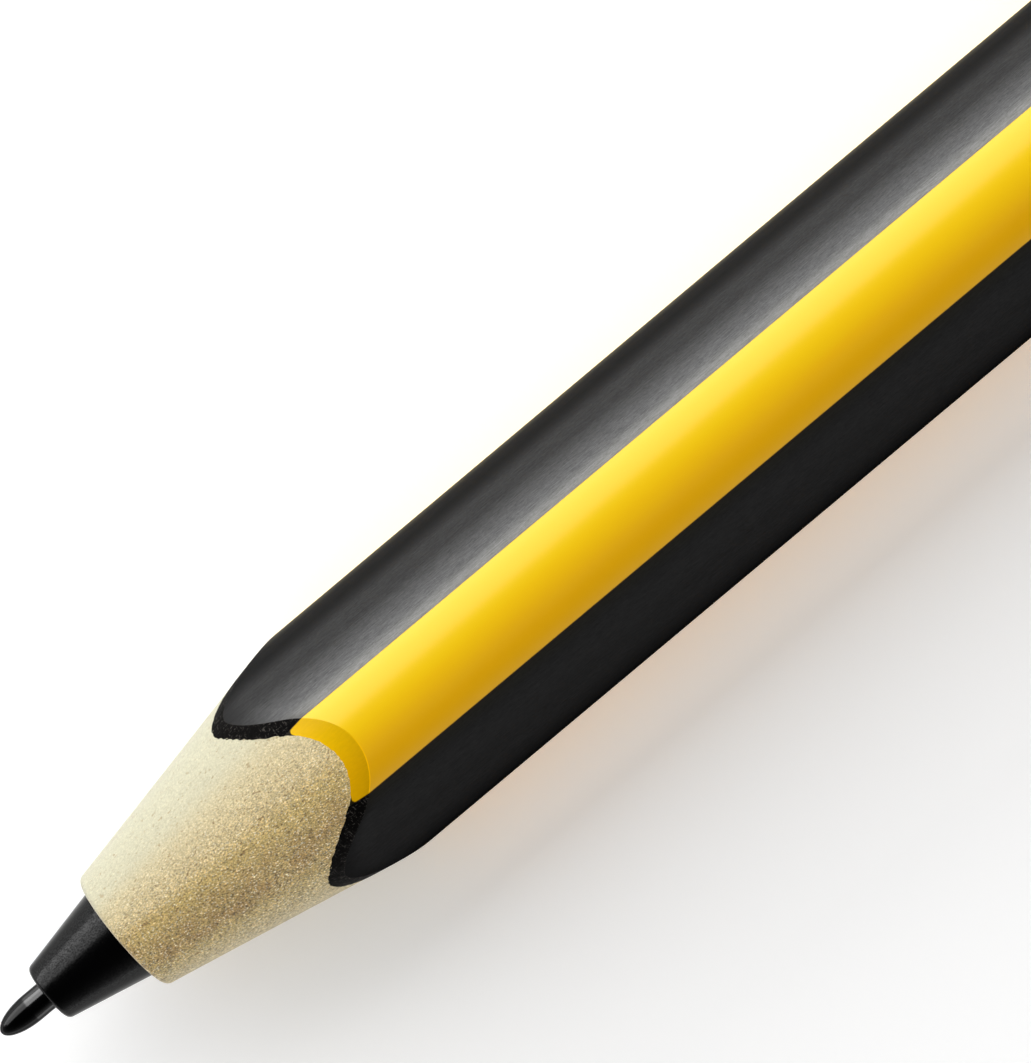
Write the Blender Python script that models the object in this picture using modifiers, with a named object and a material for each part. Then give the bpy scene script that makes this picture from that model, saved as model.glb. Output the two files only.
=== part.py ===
"""Pencil-shaped digital stylus: a striped jumbo barrel with a sprung nib and a sprung eraser.

Units are metres and +Z is up. The pencil lies along X on one of its three faces, with the nib
towards -X and the origin under the middle of its length. Each piece is modelled along the pencil's
axis, at its distance from the end that it belongs to: the nib's tip or the eraser's crown. In both
ends' own frames +Z runs into the pencil and -X is up.
"""

import math

import bmesh
import bpy
from mathutils import Matrix, Vector

MM = 0.001

# Overall size and the barrel's soft triangular section
OVERALL_LENGTH = 177.0 * MM
CORNER_ARC_RADIUS = 3.56 * MM
CORNER_ARC_CENTRE = 1.96 * MM
SHOULDER_RADIUS = 9.6 * MM
SHOULDER_ANGLE = math.radians(11.5)
COAT_ON_FACE = 0.14 * MM
COAT_ON_CORNER = 0.2 * MM
STRIPE_HALF_ANGLE = math.radians(35.2)
CORNERS = 3

# Nib and the moulded nose that guides it
NIB_RADIUS = 0.63 * MM
NIB_EXPOSED = 2.53 * MM
NIB_POINT_LENGTH = 1.65 * MM
NIB_HEAD_LENGTH = 6.0 * MM
NIB_STEM_STEP = 0.03 * MM
NOSE_EXPOSED = 3.96 * MM
NOSE_TIP_RADIUS = 1.32 * MM
NOSE_HALF_ANGLE = math.radians(12.2)
NOSE_EDGE_RADIUS = 0.25 * MM
NOSE_FLANGE_LENGTH = 1.2 * MM
NOSE_WALL = 0.37 * MM

# Sharpened wood-fibre core
WOOD_TIP_RADIUS = 2.8 * MM
WOOD_HALF_ANGLE = math.radians(11.7)
WOOD_EDGE_RADIUS = 0.33 * MM
BORE_RADIUS = 3.2 * MM

# Eraser end
ERASER_RADIUS = 3.4 * MM
ERASER_EXPOSED = 4.5 * MM
ERASER_RECESS = 1.0 * MM
ERASER_EDGE_RADIUS = 1.2 * MM
ERASER_CROWN_HEIGHT = 0.5 * MM
ERASER_SOCKET_DEPTH = 2.0 * MM
COLLAR_LENGTH = 3.5 * MM
COLLAR_EDGE_RADIUS = 0.45 * MM

# Pressure rod, coil and sensor, the same behind both ends
ROD_CLEARANCE = 0.15 * MM
GUIDE_END = 8.0 * MM
CHAMBER_END = 16.2 * MM
FERRITE_RADIUS = 1.15 * MM
FERRITE_SOCKET_DEPTH = 3.75 * MM
COIL_CLEARANCE = 0.15 * MM
COIL_LENGTH = 6.0 * MM
COIL_SETBACK = 0.8 * MM
STOP_WALL = 0.8 * MM
HOLDER_WALL = 0.6 * MM
HOLDER_LENGTH = 3.75 * MM
HOLDER_FLANGE_LENGTH = 0.75 * MM
ROD_SOCKET_DEPTH = 3.0 * MM
PRESS_TRAVEL = 0.3 * MM
PAD_RADIUS = 0.9 * MM
PAD_HEIGHT = 0.4 * MM
DISC_LEDGE = 0.35 * MM
DISC_THICKNESS = 0.4 * MM
PLATE_THICKNESS = 0.2 * MM
BOSS_LENGTH = 0.95 * MM
SPRING_TURNS = 4.5
SPRING_SPACE = 0.7 * MM
SPRING_WIRE_RADIUS = 0.11 * MM

# Circuit board, its carrier and the coil leads
END_WALL = 1.6 * MM
LEDGE_HEIGHT = -0.4 * MM
CARRIER_FLOOR = 0.95 * MM
LEDGE_WIDTH = 0.7 * MM
BOARD_MARGIN = 0.45 * MM
BOARD_THICKNESS = 0.8 * MM
BOARD_SLOT_DEPTH = 1.0 * MM
CAPACITOR_SIZE = (1.6 * MM, 0.8 * MM, 0.8 * MM)
CAPACITOR_PITCH = 3.2 * MM
CAPACITOR_SETBACK = 8.0 * MM
CAPACITORS_PER_END = 3
CHIP_SIZE = (4.0 * MM, 3.0 * MM, 0.9 * MM)
CHIP_EDGE = 0.08 * MM
LEAD_RADIUS = 0.1 * MM
LEAD_SPACING = 0.6 * MM
LEAD_GROOVE_WIDTH = 1.3 * MM
LEAD_GROOVE_DEPTH = 0.65 * MM
LEAD_DROP = 2.5 * MM

# Clearances: bonded faces, faces that seat end to end, and sliding pieces
BOND_GAP = 0.03 * MM
SEAT_GAP = 0.05 * MM
SLIDE_GAP = 0.05 * MM
CUT_OVERRUN = 1.0 * MM

# Facets: steps in a turn, in a rounded corner of the section and in a fillet
TURN_STEPS = 48
INNER_TURN_STEPS = 24
CONE_STEPS = 96
CORNER_STEPS = 18
FILLET_STEPS = 5
POINT_STEPS = 8
SPRING_POINTS_PER_TURN = 9
LEAD_RESOLUTION = 3
MERGE_DISTANCE = 1e-7
CAP_ANGLE = math.radians(0.1)

# Radii, heights and stations that follow from those sizes, measured from the axis and the nib's tip
HALF_TURN = math.pi / CORNERS
CORNER_REACH = CORNER_ARC_CENTRE + CORNER_ARC_RADIUS
SHOULDER_RISE = SHOULDER_RADIUS - (SHOULDER_RADIUS - CORNER_ARC_RADIUS) * math.cos(SHOULDER_ANGLE)
SHOULDER_SPREAD = (SHOULDER_RADIUS - CORNER_ARC_RADIUS) * math.sin(SHOULDER_ANGLE)
FACE_REACH = CORNER_ARC_CENTRE * math.cos(HALF_TURN) + SHOULDER_RISE
FLAT_HALF_WIDTH = CORNER_ARC_CENTRE * math.sin(HALF_TURN) - SHOULDER_SPREAD
WOOD_FRONT = NIB_EXPOSED + NOSE_EXPOSED
BARREL_END = OVERALL_LENGTH - ERASER_EXPOSED - COLLAR_LENGTH
NOSE_SHANK_RADIUS = NOSE_TIP_RADIUS + NOSE_EXPOSED * math.tan(NOSE_HALF_ANGLE)
ROD_RADIUS = NIB_RADIUS - NIB_STEM_STEP
GUIDE_RADIUS = NIB_RADIUS + SLIDE_GAP
FITTED_RADIUS = BORE_RADIUS - SLIDE_GAP
CHAMBER_RADIUS = NOSE_SHANK_RADIUS - NOSE_WALL
COIL_RADIUS = CHAMBER_RADIUS - COIL_CLEARANCE
FERRITE_BORE_RADIUS = ROD_RADIUS + ROD_CLEARANCE
HOLDER_RADIUS = ROD_RADIUS + HOLDER_WALL
CAVITY_RADIUS = HOLDER_RADIUS + SPRING_SPACE
DISC_RADIUS = CAVITY_RADIUS + DISC_LEDGE
BOARD_WIDTH = 2 * (FITTED_RADIUS - BOARD_MARGIN)
TROUGH_WIDTH = BOARD_WIDTH - 2 * LEDGE_WIDTH
TROUGH_FLOOR = CARRIER_FLOOR - FITTED_RADIUS
LEAD_GROOVE_FLOOR = BORE_RADIUS - LEAD_GROOVE_DEPTH
LEAD_HEIGHT = BORE_RADIUS - LEAD_GROOVE_DEPTH / 2
LEAD_EXIT_HEIGHT = (FERRITE_RADIUS + CHAMBER_RADIUS) / 2

# Stations of one sensing module, measured from its own end of the pencil
FERRITE_START = GUIDE_END + SEAT_GAP
COIL_START = FERRITE_START + COIL_SETBACK
COIL_END = COIL_START + COIL_LENGTH
NOTCH_START = CHAMBER_END - NOSE_FLANGE_LENGTH + SEAT_GAP
CASE_START = CHAMBER_END + SEAT_GAP
FERRITE_SEAT = CASE_START + FERRITE_SOCKET_DEPTH
HOLDER_STOP = FERRITE_SEAT + STOP_WALL
HOLDER_START = HOLDER_STOP + SEAT_GAP
HOLDER_END = HOLDER_START + HOLDER_LENGTH
ROD_END = HOLDER_START + ROD_SOCKET_DEPTH - SEAT_GAP
PAD_START = HOLDER_END + SEAT_GAP
DISC_SEAT = PAD_START + PAD_HEIGHT + PRESS_TRAVEL
DISC_START = DISC_SEAT + SEAT_GAP
PLATE_START = DISC_START + DISC_THICKNESS + SEAT_GAP
BOSS_START = PLATE_START + PLATE_THICKNESS + SEAT_GAP
CASE_END = BOSS_START + BOSS_LENGTH
CARRIER_START = CASE_END + SEAT_GAP
WINDOW_START = CARRIER_START + END_WALL


class Workshop:
    """The collections, end frames and finishes that every piece uses."""

    def __init__(self):
        for obj in list(bpy.data.objects):
            bpy.data.objects.remove(obj, do_unlink=True)
        self.parts = self.collection("pencil_stylus")
        self.cutters = self.collection("cutters")
        self.cutters.hide_render = True
        self.nib_end = self.end_frame("nib_end", -OVERALL_LENGTH / 2, 0.0)
        self.eraser_end = self.end_frame("eraser_end", OVERALL_LENGTH / 2, math.pi)
        self.finishes = {}

    def collection(self, name):
        made = bpy.data.collections.new(name)
        bpy.context.scene.collection.children.link(made)
        return made

    def end_frame(self, name, x, turn):
        """An empty on the axis at one end, with its +Z running into the pencil and its -X up."""
        empty = bpy.data.objects.new(name, None)
        empty.location = (x, 0.0, FACE_REACH)
        empty.rotation_euler = (0.0, math.pi / 2, turn)
        self.parts.objects.link(empty)
        return empty

    def finish(self, name, colour, roughness, metallic=0.0):
        if name not in self.finishes:
            made = bpy.data.materials.new(name)
            made.use_nodes = True
            shader = made.node_tree.nodes["Principled BSDF"]
            shader.inputs["Base Color"].default_value = (*colour, 1.0)
            shader.inputs["Roughness"].default_value = roughness
            shader.inputs["Metallic"].default_value = metallic
            self.finishes[name] = made
        return self.finishes[name]

    def piece(self, name, data, end, finish=None):
        """Links a mesh or curve as a piece of the pencil or, with no finish, as a cutter."""
        obj = bpy.data.objects.new(name, data)
        obj.parent = end
        if finish is None:
            self.cutters.objects.link(obj)
            obj.hide_render = True
            obj.display_type = "WIRE"
        else:
            self.parts.objects.link(obj)
            data.materials.append(finish)
        return obj


shop = Workshop()


def wood_fibre():
    return shop.finish("wood_fibre", (0.62, 0.53, 0.33), 0.75)


def black_coat():
    return shop.finish("black_coat", (0.02, 0.02, 0.021), 0.42)


def yellow_coat():
    return shop.finish("yellow_coat", (0.86, 0.52, 0.005), 0.4)


def black_plastic():
    return shop.finish("black_plastic", (0.012, 0.012, 0.013), 0.35)


def nib_plastic():
    return shop.finish("nib_plastic", (0.01, 0.01, 0.01), 0.2)


def grey_rubber():
    return shop.finish("grey_rubber", (0.06, 0.06, 0.065), 0.7)


def natural_nylon():
    return shop.finish("natural_nylon", (0.72, 0.7, 0.64), 0.5)


def ferrite():
    return shop.finish("ferrite", (0.07, 0.065, 0.06), 0.55)


def copper():
    return shop.finish("enamelled_copper", (0.55, 0.2, 0.08), 0.3, 1.0)


def spring_steel():
    return shop.finish("spring_steel", (0.6, 0.6, 0.6), 0.25, 1.0)


def ceramic():
    return shop.finish("white_ceramic", (0.8, 0.79, 0.75), 0.4)


def brass():
    return shop.finish("brass", (0.7, 0.5, 0.18), 0.3, 1.0)


def board_laminate():
    return shop.finish("board_laminate", (0.02, 0.16, 0.06), 0.4)


def smooth(mesh):
    """Shades a round piece smooth, with its real edges kept sharp."""
    mesh.shade_smooth()
    mesh.set_sharp_from_angle(angle=math.radians(35.0))


def fillet(before, corner, after, radius):
    """Points of an arc of this radius that rounds a corner of a profile."""
    corner = Vector(corner)
    back = (Vector(before) - corner).normalized()
    on = (Vector(after) - corner).normalized()
    half = back.angle(on) / 2
    centre = corner + (back + on).normalized() * (radius / math.sin(half))
    first = (corner + back * (radius / math.tan(half)) - centre).normalized()
    last = (corner + on * (radius / math.tan(half)) - centre).normalized()
    arc = [first.slerp(last, i / FILLET_STEPS) for i in range(FILLET_STEPS + 1)]
    return [tuple(centre + radius * direction) for direction in arc]


def turned(name, profile, end, finish=None, steps=INNER_TURN_STEPS):
    """A solid of revolution. The profile's points are (station, radius), from the outer end inwards.

    A profile that starts and ends on the axis is solid; any other is closed into a ring, with its
    outer side listed first.
    """
    mesh = bpy.data.meshes.new(name)
    work = bmesh.new()
    points = [work.verts.new((radius, 0.0, station)) for station, radius in reversed(profile)]
    edges = list(zip(points, points[1:]))
    if profile[0][1] > 0.0 or profile[-1][1] > 0.0:
        edges.append((points[-1], points[0]))
    for pair in edges:
        work.edges.new(pair)
    work.to_mesh(mesh)
    work.free()
    obj = shop.piece(name, mesh, end, finish)
    screw = obj.modifiers.new("turn", "SCREW")
    screw.steps = screw.render_steps = steps
    screw.use_merge_vertices = True
    screw.merge_threshold = MERGE_DISTANCE
    return obj


def tube(name, start, stop, outer, inner, end, finish, steps=INNER_TURN_STEPS):
    """A plain turned tube between two stations."""
    profile = [(start, outer), (stop, outer), (stop, inner), (start, inner)]
    return turned(name, profile, end, finish, steps)


def disc(name, start, stop, radius, end, finish=None, steps=INNER_TURN_STEPS):
    """A plain turned disc or rod between two stations."""
    profile = [(start, 0.0), (start, radius), (stop, radius), (stop, 0.0)]
    return turned(name, profile, end, finish, steps)


def block(name, heights, sides, stations, end, finish=None, edge=0.0):
    """A box between two heights above the axis, two sides and two stations, with bevelled edges."""
    low = Vector((-heights[1], sides[0], stations[0]))
    high = Vector((-heights[0], sides[1], stations[1]))
    place = Matrix.Translation((low + high) / 2) @ Matrix.Diagonal((*(high - low), 1.0))
    mesh = bpy.data.meshes.new(name)
    work = bmesh.new()
    bmesh.ops.create_cube(work, size=1.0, matrix=place)
    work.to_mesh(mesh)
    work.free()
    obj = shop.piece(name, mesh, end, finish)
    if edge:
        bevel = obj.modifiers.new("edge", "BEVEL")
        bevel.width = edge
        bevel.segments = 1
    return obj


def cut(obj, cutter, operation="DIFFERENCE"):
    boolean = obj.modifiers.new(cutter.name, "BOOLEAN")
    boolean.operation = operation
    boolean.solver = "EXACT"
    boolean.object = cutter


class Section:
    """A soft triangle about the axis: rounded corners, arched shoulders and a flat in each face.

    A shoulder's arc runs smoothly from the corner's arc to the edge of the flat.
    """

    def __init__(self, arc_centre, arc_radius, face_reach, flat_half_width):
        self.arc_centre = arc_centre
        self.arc_radius = arc_radius
        self.face_reach = face_reach
        self.flat_half_width = flat_half_width
        rise = face_reach - arc_centre * math.cos(HALF_TURN)
        spread = arc_centre * math.sin(HALF_TURN) - flat_half_width
        self.shoulder_radius = (rise**2 + spread**2 - arc_radius**2) / (rise - arc_radius) / 2
        self.shoulder_start = HALF_TURN - math.atan2(spread, self.shoulder_radius - rise)

    def under(self, on_face, on_corner):
        """The section that lies this far under the middle of the faces and of the corners."""
        arc_radius = self.arc_radius - on_corner
        return Section(self.arc_centre, arc_radius, self.face_reach - on_face, self.flat_half_width)

    def point(self, corner, normal):
        """The point by a corner where the outline faces this far from the corner's own direction."""
        centre = Vector((self.arc_centre, 0.0))
        radius = self.arc_radius
        if abs(normal) > self.shoulder_start:
            radius = self.shoulder_radius
            centre = Vector((self.face_reach - radius, -self.flat_half_width))
            centre.rotate(Matrix.Rotation(HALF_TURN, 2))
            centre.y = math.copysign(centre.y, -normal)
        place = centre + radius * Vector((math.cos(normal), math.sin(normal)))
        place.rotate(Matrix.Rotation(2 * HALF_TURN * corner, 2))
        return (-place.x, place.y)

    def arc(self, corner, first, last):
        """Points by one corner between two directions, counted from the corner's own."""
        steps = max(1, round(CORNER_STEPS * (last - first) / (2 * HALF_TURN)))
        return [self.point(corner, first + (last - first) * i / steps) for i in range(steps + 1)]

    def outline(self):
        """The whole section's outline."""
        arcs = [self.arc(corner, -HALF_TURN, HALF_TURN) for corner in range(CORNERS)]
        return [point for arc in arcs for point in arc]

    def on_corner(self, corner):
        """The share of the outline that a corner's stripe covers."""
        reach = STRIPE_HALF_ANGLE - BOND_GAP / 2 / CORNER_ARC_RADIUS
        return self.arc(corner, -reach, reach)

    def on_face(self, corner):
        """The share that the face after a corner covers, from that corner's stripe to the next."""
        reach = STRIPE_HALF_ANGLE + BOND_GAP / 2 / CORNER_ARC_RADIUS
        return self.arc(corner, reach, HALF_TURN) + self.arc(corner + 1, -HALF_TURN, -reach)


BARREL = Section(CORNER_ARC_CENTRE, CORNER_ARC_RADIUS, FACE_REACH, FLAT_HALF_WIDTH)
COAT_INSIDE = BARREL.under(COAT_ON_FACE, COAT_ON_CORNER)
CORE = COAT_INSIDE.under(BOND_GAP, BOND_GAP)


def extruded(name, outline, start, stop, end, finish=None):
    """A flat outline drawn out along the axis between two stations, as a closed mesh."""
    drawn = bpy.data.curves.new(name + "_outline", "CURVE")
    drawn.dimensions = "2D"
    drawn.fill_mode = "BOTH"
    drawn.extrude = (stop - start) / 2 / MM
    spline = drawn.splines.new("POLY")
    spline.use_cyclic_u = True
    spline.points.add(len(outline) - 1)
    for point, (x, y) in zip(spline.points, outline):
        point.co = (x / MM, y / MM, 0.0, 1.0)
    guide = bpy.data.objects.new(name + "_outline", drawn)
    shop.cutters.objects.link(guide)
    graph = bpy.context.evaluated_depsgraph_get()
    mesh = bpy.data.meshes.new_from_object(guide.evaluated_get(graph))
    bpy.data.objects.remove(guide)
    mesh.name = name
    mesh.materials.clear()
    mesh.transform(Matrix.Translation((0.0, 0.0, (start + stop) / 2)) @ Matrix.Scale(MM, 4))
    work = bmesh.new()
    work.from_mesh(mesh)
    bmesh.ops.remove_doubles(work, verts=work.verts, dist=MERGE_DISTANCE)
    bmesh.ops.dissolve_limit(work, angle_limit=CAP_ANGLE, verts=work.verts, edges=work.edges)
    bmesh.ops.recalc_face_normals(work, faces=work.faces)
    work.to_mesh(mesh)
    work.free()
    return shop.piece(name, mesh, end, finish)


def sharpening_cone():
    """The solid that a sharpener leaves: a rounded tip, the cone and room for the whole barrel."""
    wide = CORNER_REACH + CUT_OVERRUN
    cone_end = WOOD_FRONT + (wide - WOOD_TIP_RADIUS) / math.tan(WOOD_HALF_ANGLE)
    tip = (WOOD_FRONT, WOOD_TIP_RADIUS)
    edge = fillet((WOOD_FRONT, 0.0), tip, (cone_end, wide), WOOD_EDGE_RADIUS)
    back = BARREL_END + CUT_OVERRUN
    profile = [(WOOD_FRONT, 0.0), *edge, (cone_end, wide), (back, wide), (back, 0.0)]
    return turned("sharpening_cone", profile, shop.nib_end, steps=CONE_STEPS)


def barrel_core(cone):
    """The wood-fibre core: a rounded triangle, sharpened, with a stepped bore from end to end."""
    start = WOOD_FRONT - CUT_OVERRUN
    core = extruded("barrel_core", CORE.outline(), start, BARREL_END, shop.nib_end, wood_fibre())
    cut(core, cone, "INTERSECT")
    hole = NOSE_SHANK_RADIUS + SLIDE_GAP
    shoulder = CHAMBER_END - NOSE_FLANGE_LENGTH - SEAT_GAP
    back = BARREL_END + CUT_OVERRUN
    profile = [(start, 0.0), (start, hole), (shoulder, hole), (shoulder, BORE_RADIUS)]
    profile += [(back, BORE_RADIUS), (back, 0.0)]
    cut(core, turned("barrel_bore", profile, shop.nib_end, steps=TURN_STEPS))


def barrel_coat(cone):
    """The coat: a black strip on each face and a yellow one on each rounded corner."""
    faces = ("black_face_left", "black_face_bottom", "black_face_right")
    corners = ("yellow_stripe_top", "yellow_stripe_left", "yellow_stripe_right")
    for i in range(CORNERS):
        face = BARREL.on_face(i) + COAT_INSIDE.on_face(i)[::-1]
        corner = BARREL.on_corner(i) + COAT_INSIDE.on_corner(i)[::-1]
        for name, outline, finish in (
            (faces[i], face, black_coat()),
            (corners[i], corner, yellow_coat()),
        ):
            strip = extruded(name, outline, WOOD_FRONT, BARREL_END, shop.nib_end, finish)
            cut(strip, cone, "INTERSECT")


def nib():
    """The replaceable nib: a rounded point, a guided head and a thin stem into its holder."""
    profile = []
    for i in range(POINT_STEPS + 1):
        angle = math.pi / 2 * i / POINT_STEPS
        station = NIB_POINT_LENGTH * (1 - math.cos(angle))
        profile.append((station, NIB_RADIUS * math.sin(angle)))
    profile += [(NIB_HEAD_LENGTH, NIB_RADIUS), (NIB_HEAD_LENGTH, ROD_RADIUS)]
    profile += [(ROD_END, ROD_RADIUS), (ROD_END, 0.0)]
    turned("nib", profile, shop.nib_end, nib_plastic(), TURN_STEPS)


def lead_notch(name, end):
    """The notch that lets the coil leads out of the chamber's inner end."""
    half = LEAD_GROOVE_WIDTH / 2
    heights = (FERRITE_RADIUS, BORE_RADIUS + CUT_OVERRUN)
    return block(name, heights, (-half, half), (NOTCH_START, CHAMBER_END + CUT_OVERRUN), end)


def nose_cone():
    """The moulded nose: a tapered tip, a shank with the coil's chamber and a flange that seats."""
    tip = (NIB_EXPOSED, NOSE_TIP_RADIUS)
    base = (WOOD_FRONT, NOSE_SHANK_RADIUS)
    flange = CHAMBER_END - NOSE_FLANGE_LENGTH
    profile = fillet((NIB_EXPOSED, 0.0), tip, base, NOSE_EDGE_RADIUS)
    profile += [base, (flange, NOSE_SHANK_RADIUS), (flange, FITTED_RADIUS)]
    profile += [(CHAMBER_END, FITTED_RADIUS), (CHAMBER_END, CHAMBER_RADIUS)]
    profile += [(GUIDE_END, CHAMBER_RADIUS), (GUIDE_END, GUIDE_RADIUS), (NIB_EXPOSED, GUIDE_RADIUS)]
    nose = turned("nose_cone", profile, shop.nib_end, black_plastic(), TURN_STEPS)
    cut(nose, lead_notch("nose_lead_notch", shop.nib_end))


def eraser():
    """The eraser: a domed rubber head on a rod that runs through the collar to its holder."""
    back = ERASER_EXPOSED + ERASER_RECESS
    rim = (ERASER_CROWN_HEIGHT, ERASER_RADIUS)
    socket = back - ERASER_SOCKET_DEPTH
    profile = [(0.0, 0.0), *fillet((0.0, 0.0), rim, (back, ERASER_RADIUS), ERASER_EDGE_RADIUS)]
    profile += [(back, ERASER_RADIUS), (back, ROD_RADIUS + BOND_GAP)]
    profile += [(socket, ROD_RADIUS + BOND_GAP), (socket, 0.0)]
    turned("eraser_head", profile, shop.eraser_end, grey_rubber(), TURN_STEPS)
    disc("eraser_rod", socket + SEAT_GAP, ROD_END, ROD_RADIUS, shop.eraser_end, black_plastic())


def end_collar():
    """The collar that closes the barrel: the barrel's own section, a recess and a hollow spigot."""
    end = shop.eraser_end
    inner = ERASER_EXPOSED + COLLAR_LENGTH - SEAT_GAP
    collar = extruded("end_collar", BARREL.outline(), ERASER_EXPOSED, inner, end, black_plastic())
    work = bmesh.new()
    work.from_mesh(collar.data)
    rim = [e for e in work.edges if all(v.co.z < ERASER_EXPOSED + SEAT_GAP for v in e.verts)]
    rim = [e for e in rim if e.calc_face_angle(0.0) > math.pi / 4]
    rounding = {"offset": COLLAR_EDGE_RADIUS, "segments": FILLET_STEPS, "profile": 0.5}
    bmesh.ops.bevel(work, geom=rim, affect="EDGES", **rounding)
    work.to_mesh(collar.data)
    work.free()
    spigot = disc("collar_spigot", inner - CUT_OVERRUN, CHAMBER_END, FITTED_RADIUS, end)
    cut(collar, spigot, "UNION")
    recess = ERASER_RADIUS + 2 * SLIDE_GAP
    floor = ERASER_EXPOSED + ERASER_RECESS + PRESS_TRAVEL + 2 * SEAT_GAP
    start = ERASER_EXPOSED - CUT_OVERRUN
    back = CHAMBER_END + CUT_OVERRUN
    profile = [(start, 0.0), (start, recess), (floor, recess), (floor, GUIDE_RADIUS)]
    profile += [(GUIDE_END, GUIDE_RADIUS), (GUIDE_END, CHAMBER_RADIUS)]
    profile += [(back, CHAMBER_RADIUS), (back, 0.0)]
    cut(collar, turned("collar_bore", profile, end, steps=TURN_STEPS))
    cut(collar, lead_notch("collar_lead_notch", end))


def lead_groove(name, start, stop, end):
    """The groove along the top of a fitted piece that the coil leads run in."""
    half = LEAD_GROOVE_WIDTH / 2
    heights = (LEAD_GROOVE_FLOOR, BORE_RADIUS + CUT_OVERRUN)
    stations = (start - CUT_OVERRUN, stop + CUT_OVERRUN)
    return block(name, heights, (-half, half), stations, end)


def sensor_case(prefix, end):
    """The case of a pressure sensor: a ferrite socket, a stop and a stepped cavity."""
    socket = FERRITE_RADIUS + SLIDE_GAP
    counterbore = DISC_RADIUS + SLIDE_GAP
    profile = [(CASE_START, FITTED_RADIUS), (CASE_END, FITTED_RADIUS), (CASE_END, counterbore)]
    profile += [(DISC_SEAT, counterbore), (DISC_SEAT, CAVITY_RADIUS), (HOLDER_STOP, CAVITY_RADIUS)]
    profile += [(HOLDER_STOP, FERRITE_BORE_RADIUS), (FERRITE_SEAT, FERRITE_BORE_RADIUS)]
    profile += [(FERRITE_SEAT, socket), (CASE_START, socket)]
    case = turned(prefix + "_sensor_case", profile, end, natural_nylon())
    cut(case, lead_groove(prefix + "_case_groove", CASE_START, CASE_END, end))


def holder(prefix, end):
    """The sliding holder that grips the rod, with the flange that its spring pushes on."""
    flange = HOLDER_START + HOLDER_FLANGE_LENGTH
    guided = CAVITY_RADIUS - SLIDE_GAP
    socket = ROD_RADIUS + BOND_GAP
    socket_end = HOLDER_START + ROD_SOCKET_DEPTH
    profile = [(socket_end, 0.0), (socket_end, socket), (HOLDER_START, socket)]
    profile += [(HOLDER_START, guided), (flange, guided), (flange, HOLDER_RADIUS)]
    profile += [(HOLDER_END, HOLDER_RADIUS), (HOLDER_END, 0.0)]
    turned(prefix + "_holder", profile, end, black_plastic())


def contact_pad(prefix, end):
    """The rubber dome on the holder that closes on the dielectric disc."""
    profile = [(PAD_START, 0.0), (PAD_START, PAD_RADIUS)]
    for i in range(1, FILLET_STEPS + 1):
        angle = math.pi / 2 * i / FILLET_STEPS
        profile.append((PAD_START + PAD_HEIGHT * math.sin(angle), PAD_RADIUS * math.cos(angle)))
    profile[-1] = (PAD_START + PAD_HEIGHT, 0.0)
    turned(prefix + "_contact_pad", profile, end, grey_rubber())


def return_spring(prefix, end):
    """The coil spring between the holder's flange and the disc, with its least gap printed."""
    start = HOLDER_START + HOLDER_FLANGE_LENGTH + SEAT_GAP + SPRING_WIRE_RADIUS
    stop = DISC_SEAT - SPRING_WIRE_RADIUS
    radius = (HOLDER_RADIUS + CAVITY_RADIUS) / 2
    count = round(SPRING_TURNS * SPRING_POINTS_PER_TURN)
    wire = bpy.data.curves.new(prefix + "_return_spring", "CURVE")
    wire.dimensions = "3D"
    wire.bevel_depth = SPRING_WIRE_RADIUS
    wire.bevel_resolution = 1
    wire.use_fill_caps = True
    spline = wire.splines.new("POLY")
    spline.points.add(count)
    for i, point in enumerate(spline.points):
        angle = 2 * math.pi * SPRING_TURNS * i / count
        station = start + (stop - start) * i / count
        point.co = (radius * math.cos(angle), radius * math.sin(angle), station, 1.0)
    gap = (stop - start) / SPRING_TURNS - 2 * SPRING_WIRE_RADIUS
    print(f"{prefix} return spring: least gap between turns {gap / MM:.2f} mm")
    shop.piece(wire.name, wire, end, spring_steel())


def coil_leads(prefix, end):
    """The two wires from the coil, out through the notch and along the groove to the board."""
    board_top = LEDGE_HEIGHT + SEAT_GAP + BOARD_THICKNESS
    landing = board_top + SEAT_GAP + LEAD_RADIUS
    notch = CHAMBER_END - NOSE_FLANGE_LENGTH / 2
    route = (
        (LEAD_EXIT_HEIGHT, COIL_END + SEAT_GAP),
        (LEAD_EXIT_HEIGHT, NOTCH_START + LEAD_RADIUS),
        ((LEAD_EXIT_HEIGHT + LEAD_HEIGHT) / 2, notch),
        (LEAD_HEIGHT, CASE_START + NOSE_FLANGE_LENGTH / 2),
        (LEAD_HEIGHT, CASE_START + NOSE_FLANGE_LENGTH),
        (LEAD_HEIGHT, CASE_END),
        (LEAD_HEIGHT, WINDOW_START),
        ((LEAD_HEIGHT + landing) / 2, WINDOW_START + LEAD_DROP / 2),
        (landing, WINDOW_START + LEAD_DROP),
        (landing, WINDOW_START + LEAD_DROP + LEAD_GROOVE_WIDTH),
    )
    for number, side in ((1, -LEAD_SPACING / 2), (2, LEAD_SPACING / 2)):
        wire = bpy.data.curves.new(f"{prefix}_coil_lead_{number}", "CURVE")
        wire.dimensions = "3D"
        wire.bevel_depth = LEAD_RADIUS
        wire.bevel_resolution = 1
        wire.resolution_u = LEAD_RESOLUTION
        wire.use_fill_caps = True
        spline = wire.splines.new("BEZIER")
        spline.bezier_points.add(len(route) - 1)
        for point, (height, station) in zip(spline.bezier_points, route):
            point.co = (-height, side, station)
            point.handle_left_type = point.handle_right_type = "AUTO"
        shop.piece(wire.name, wire, end, copper())


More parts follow.
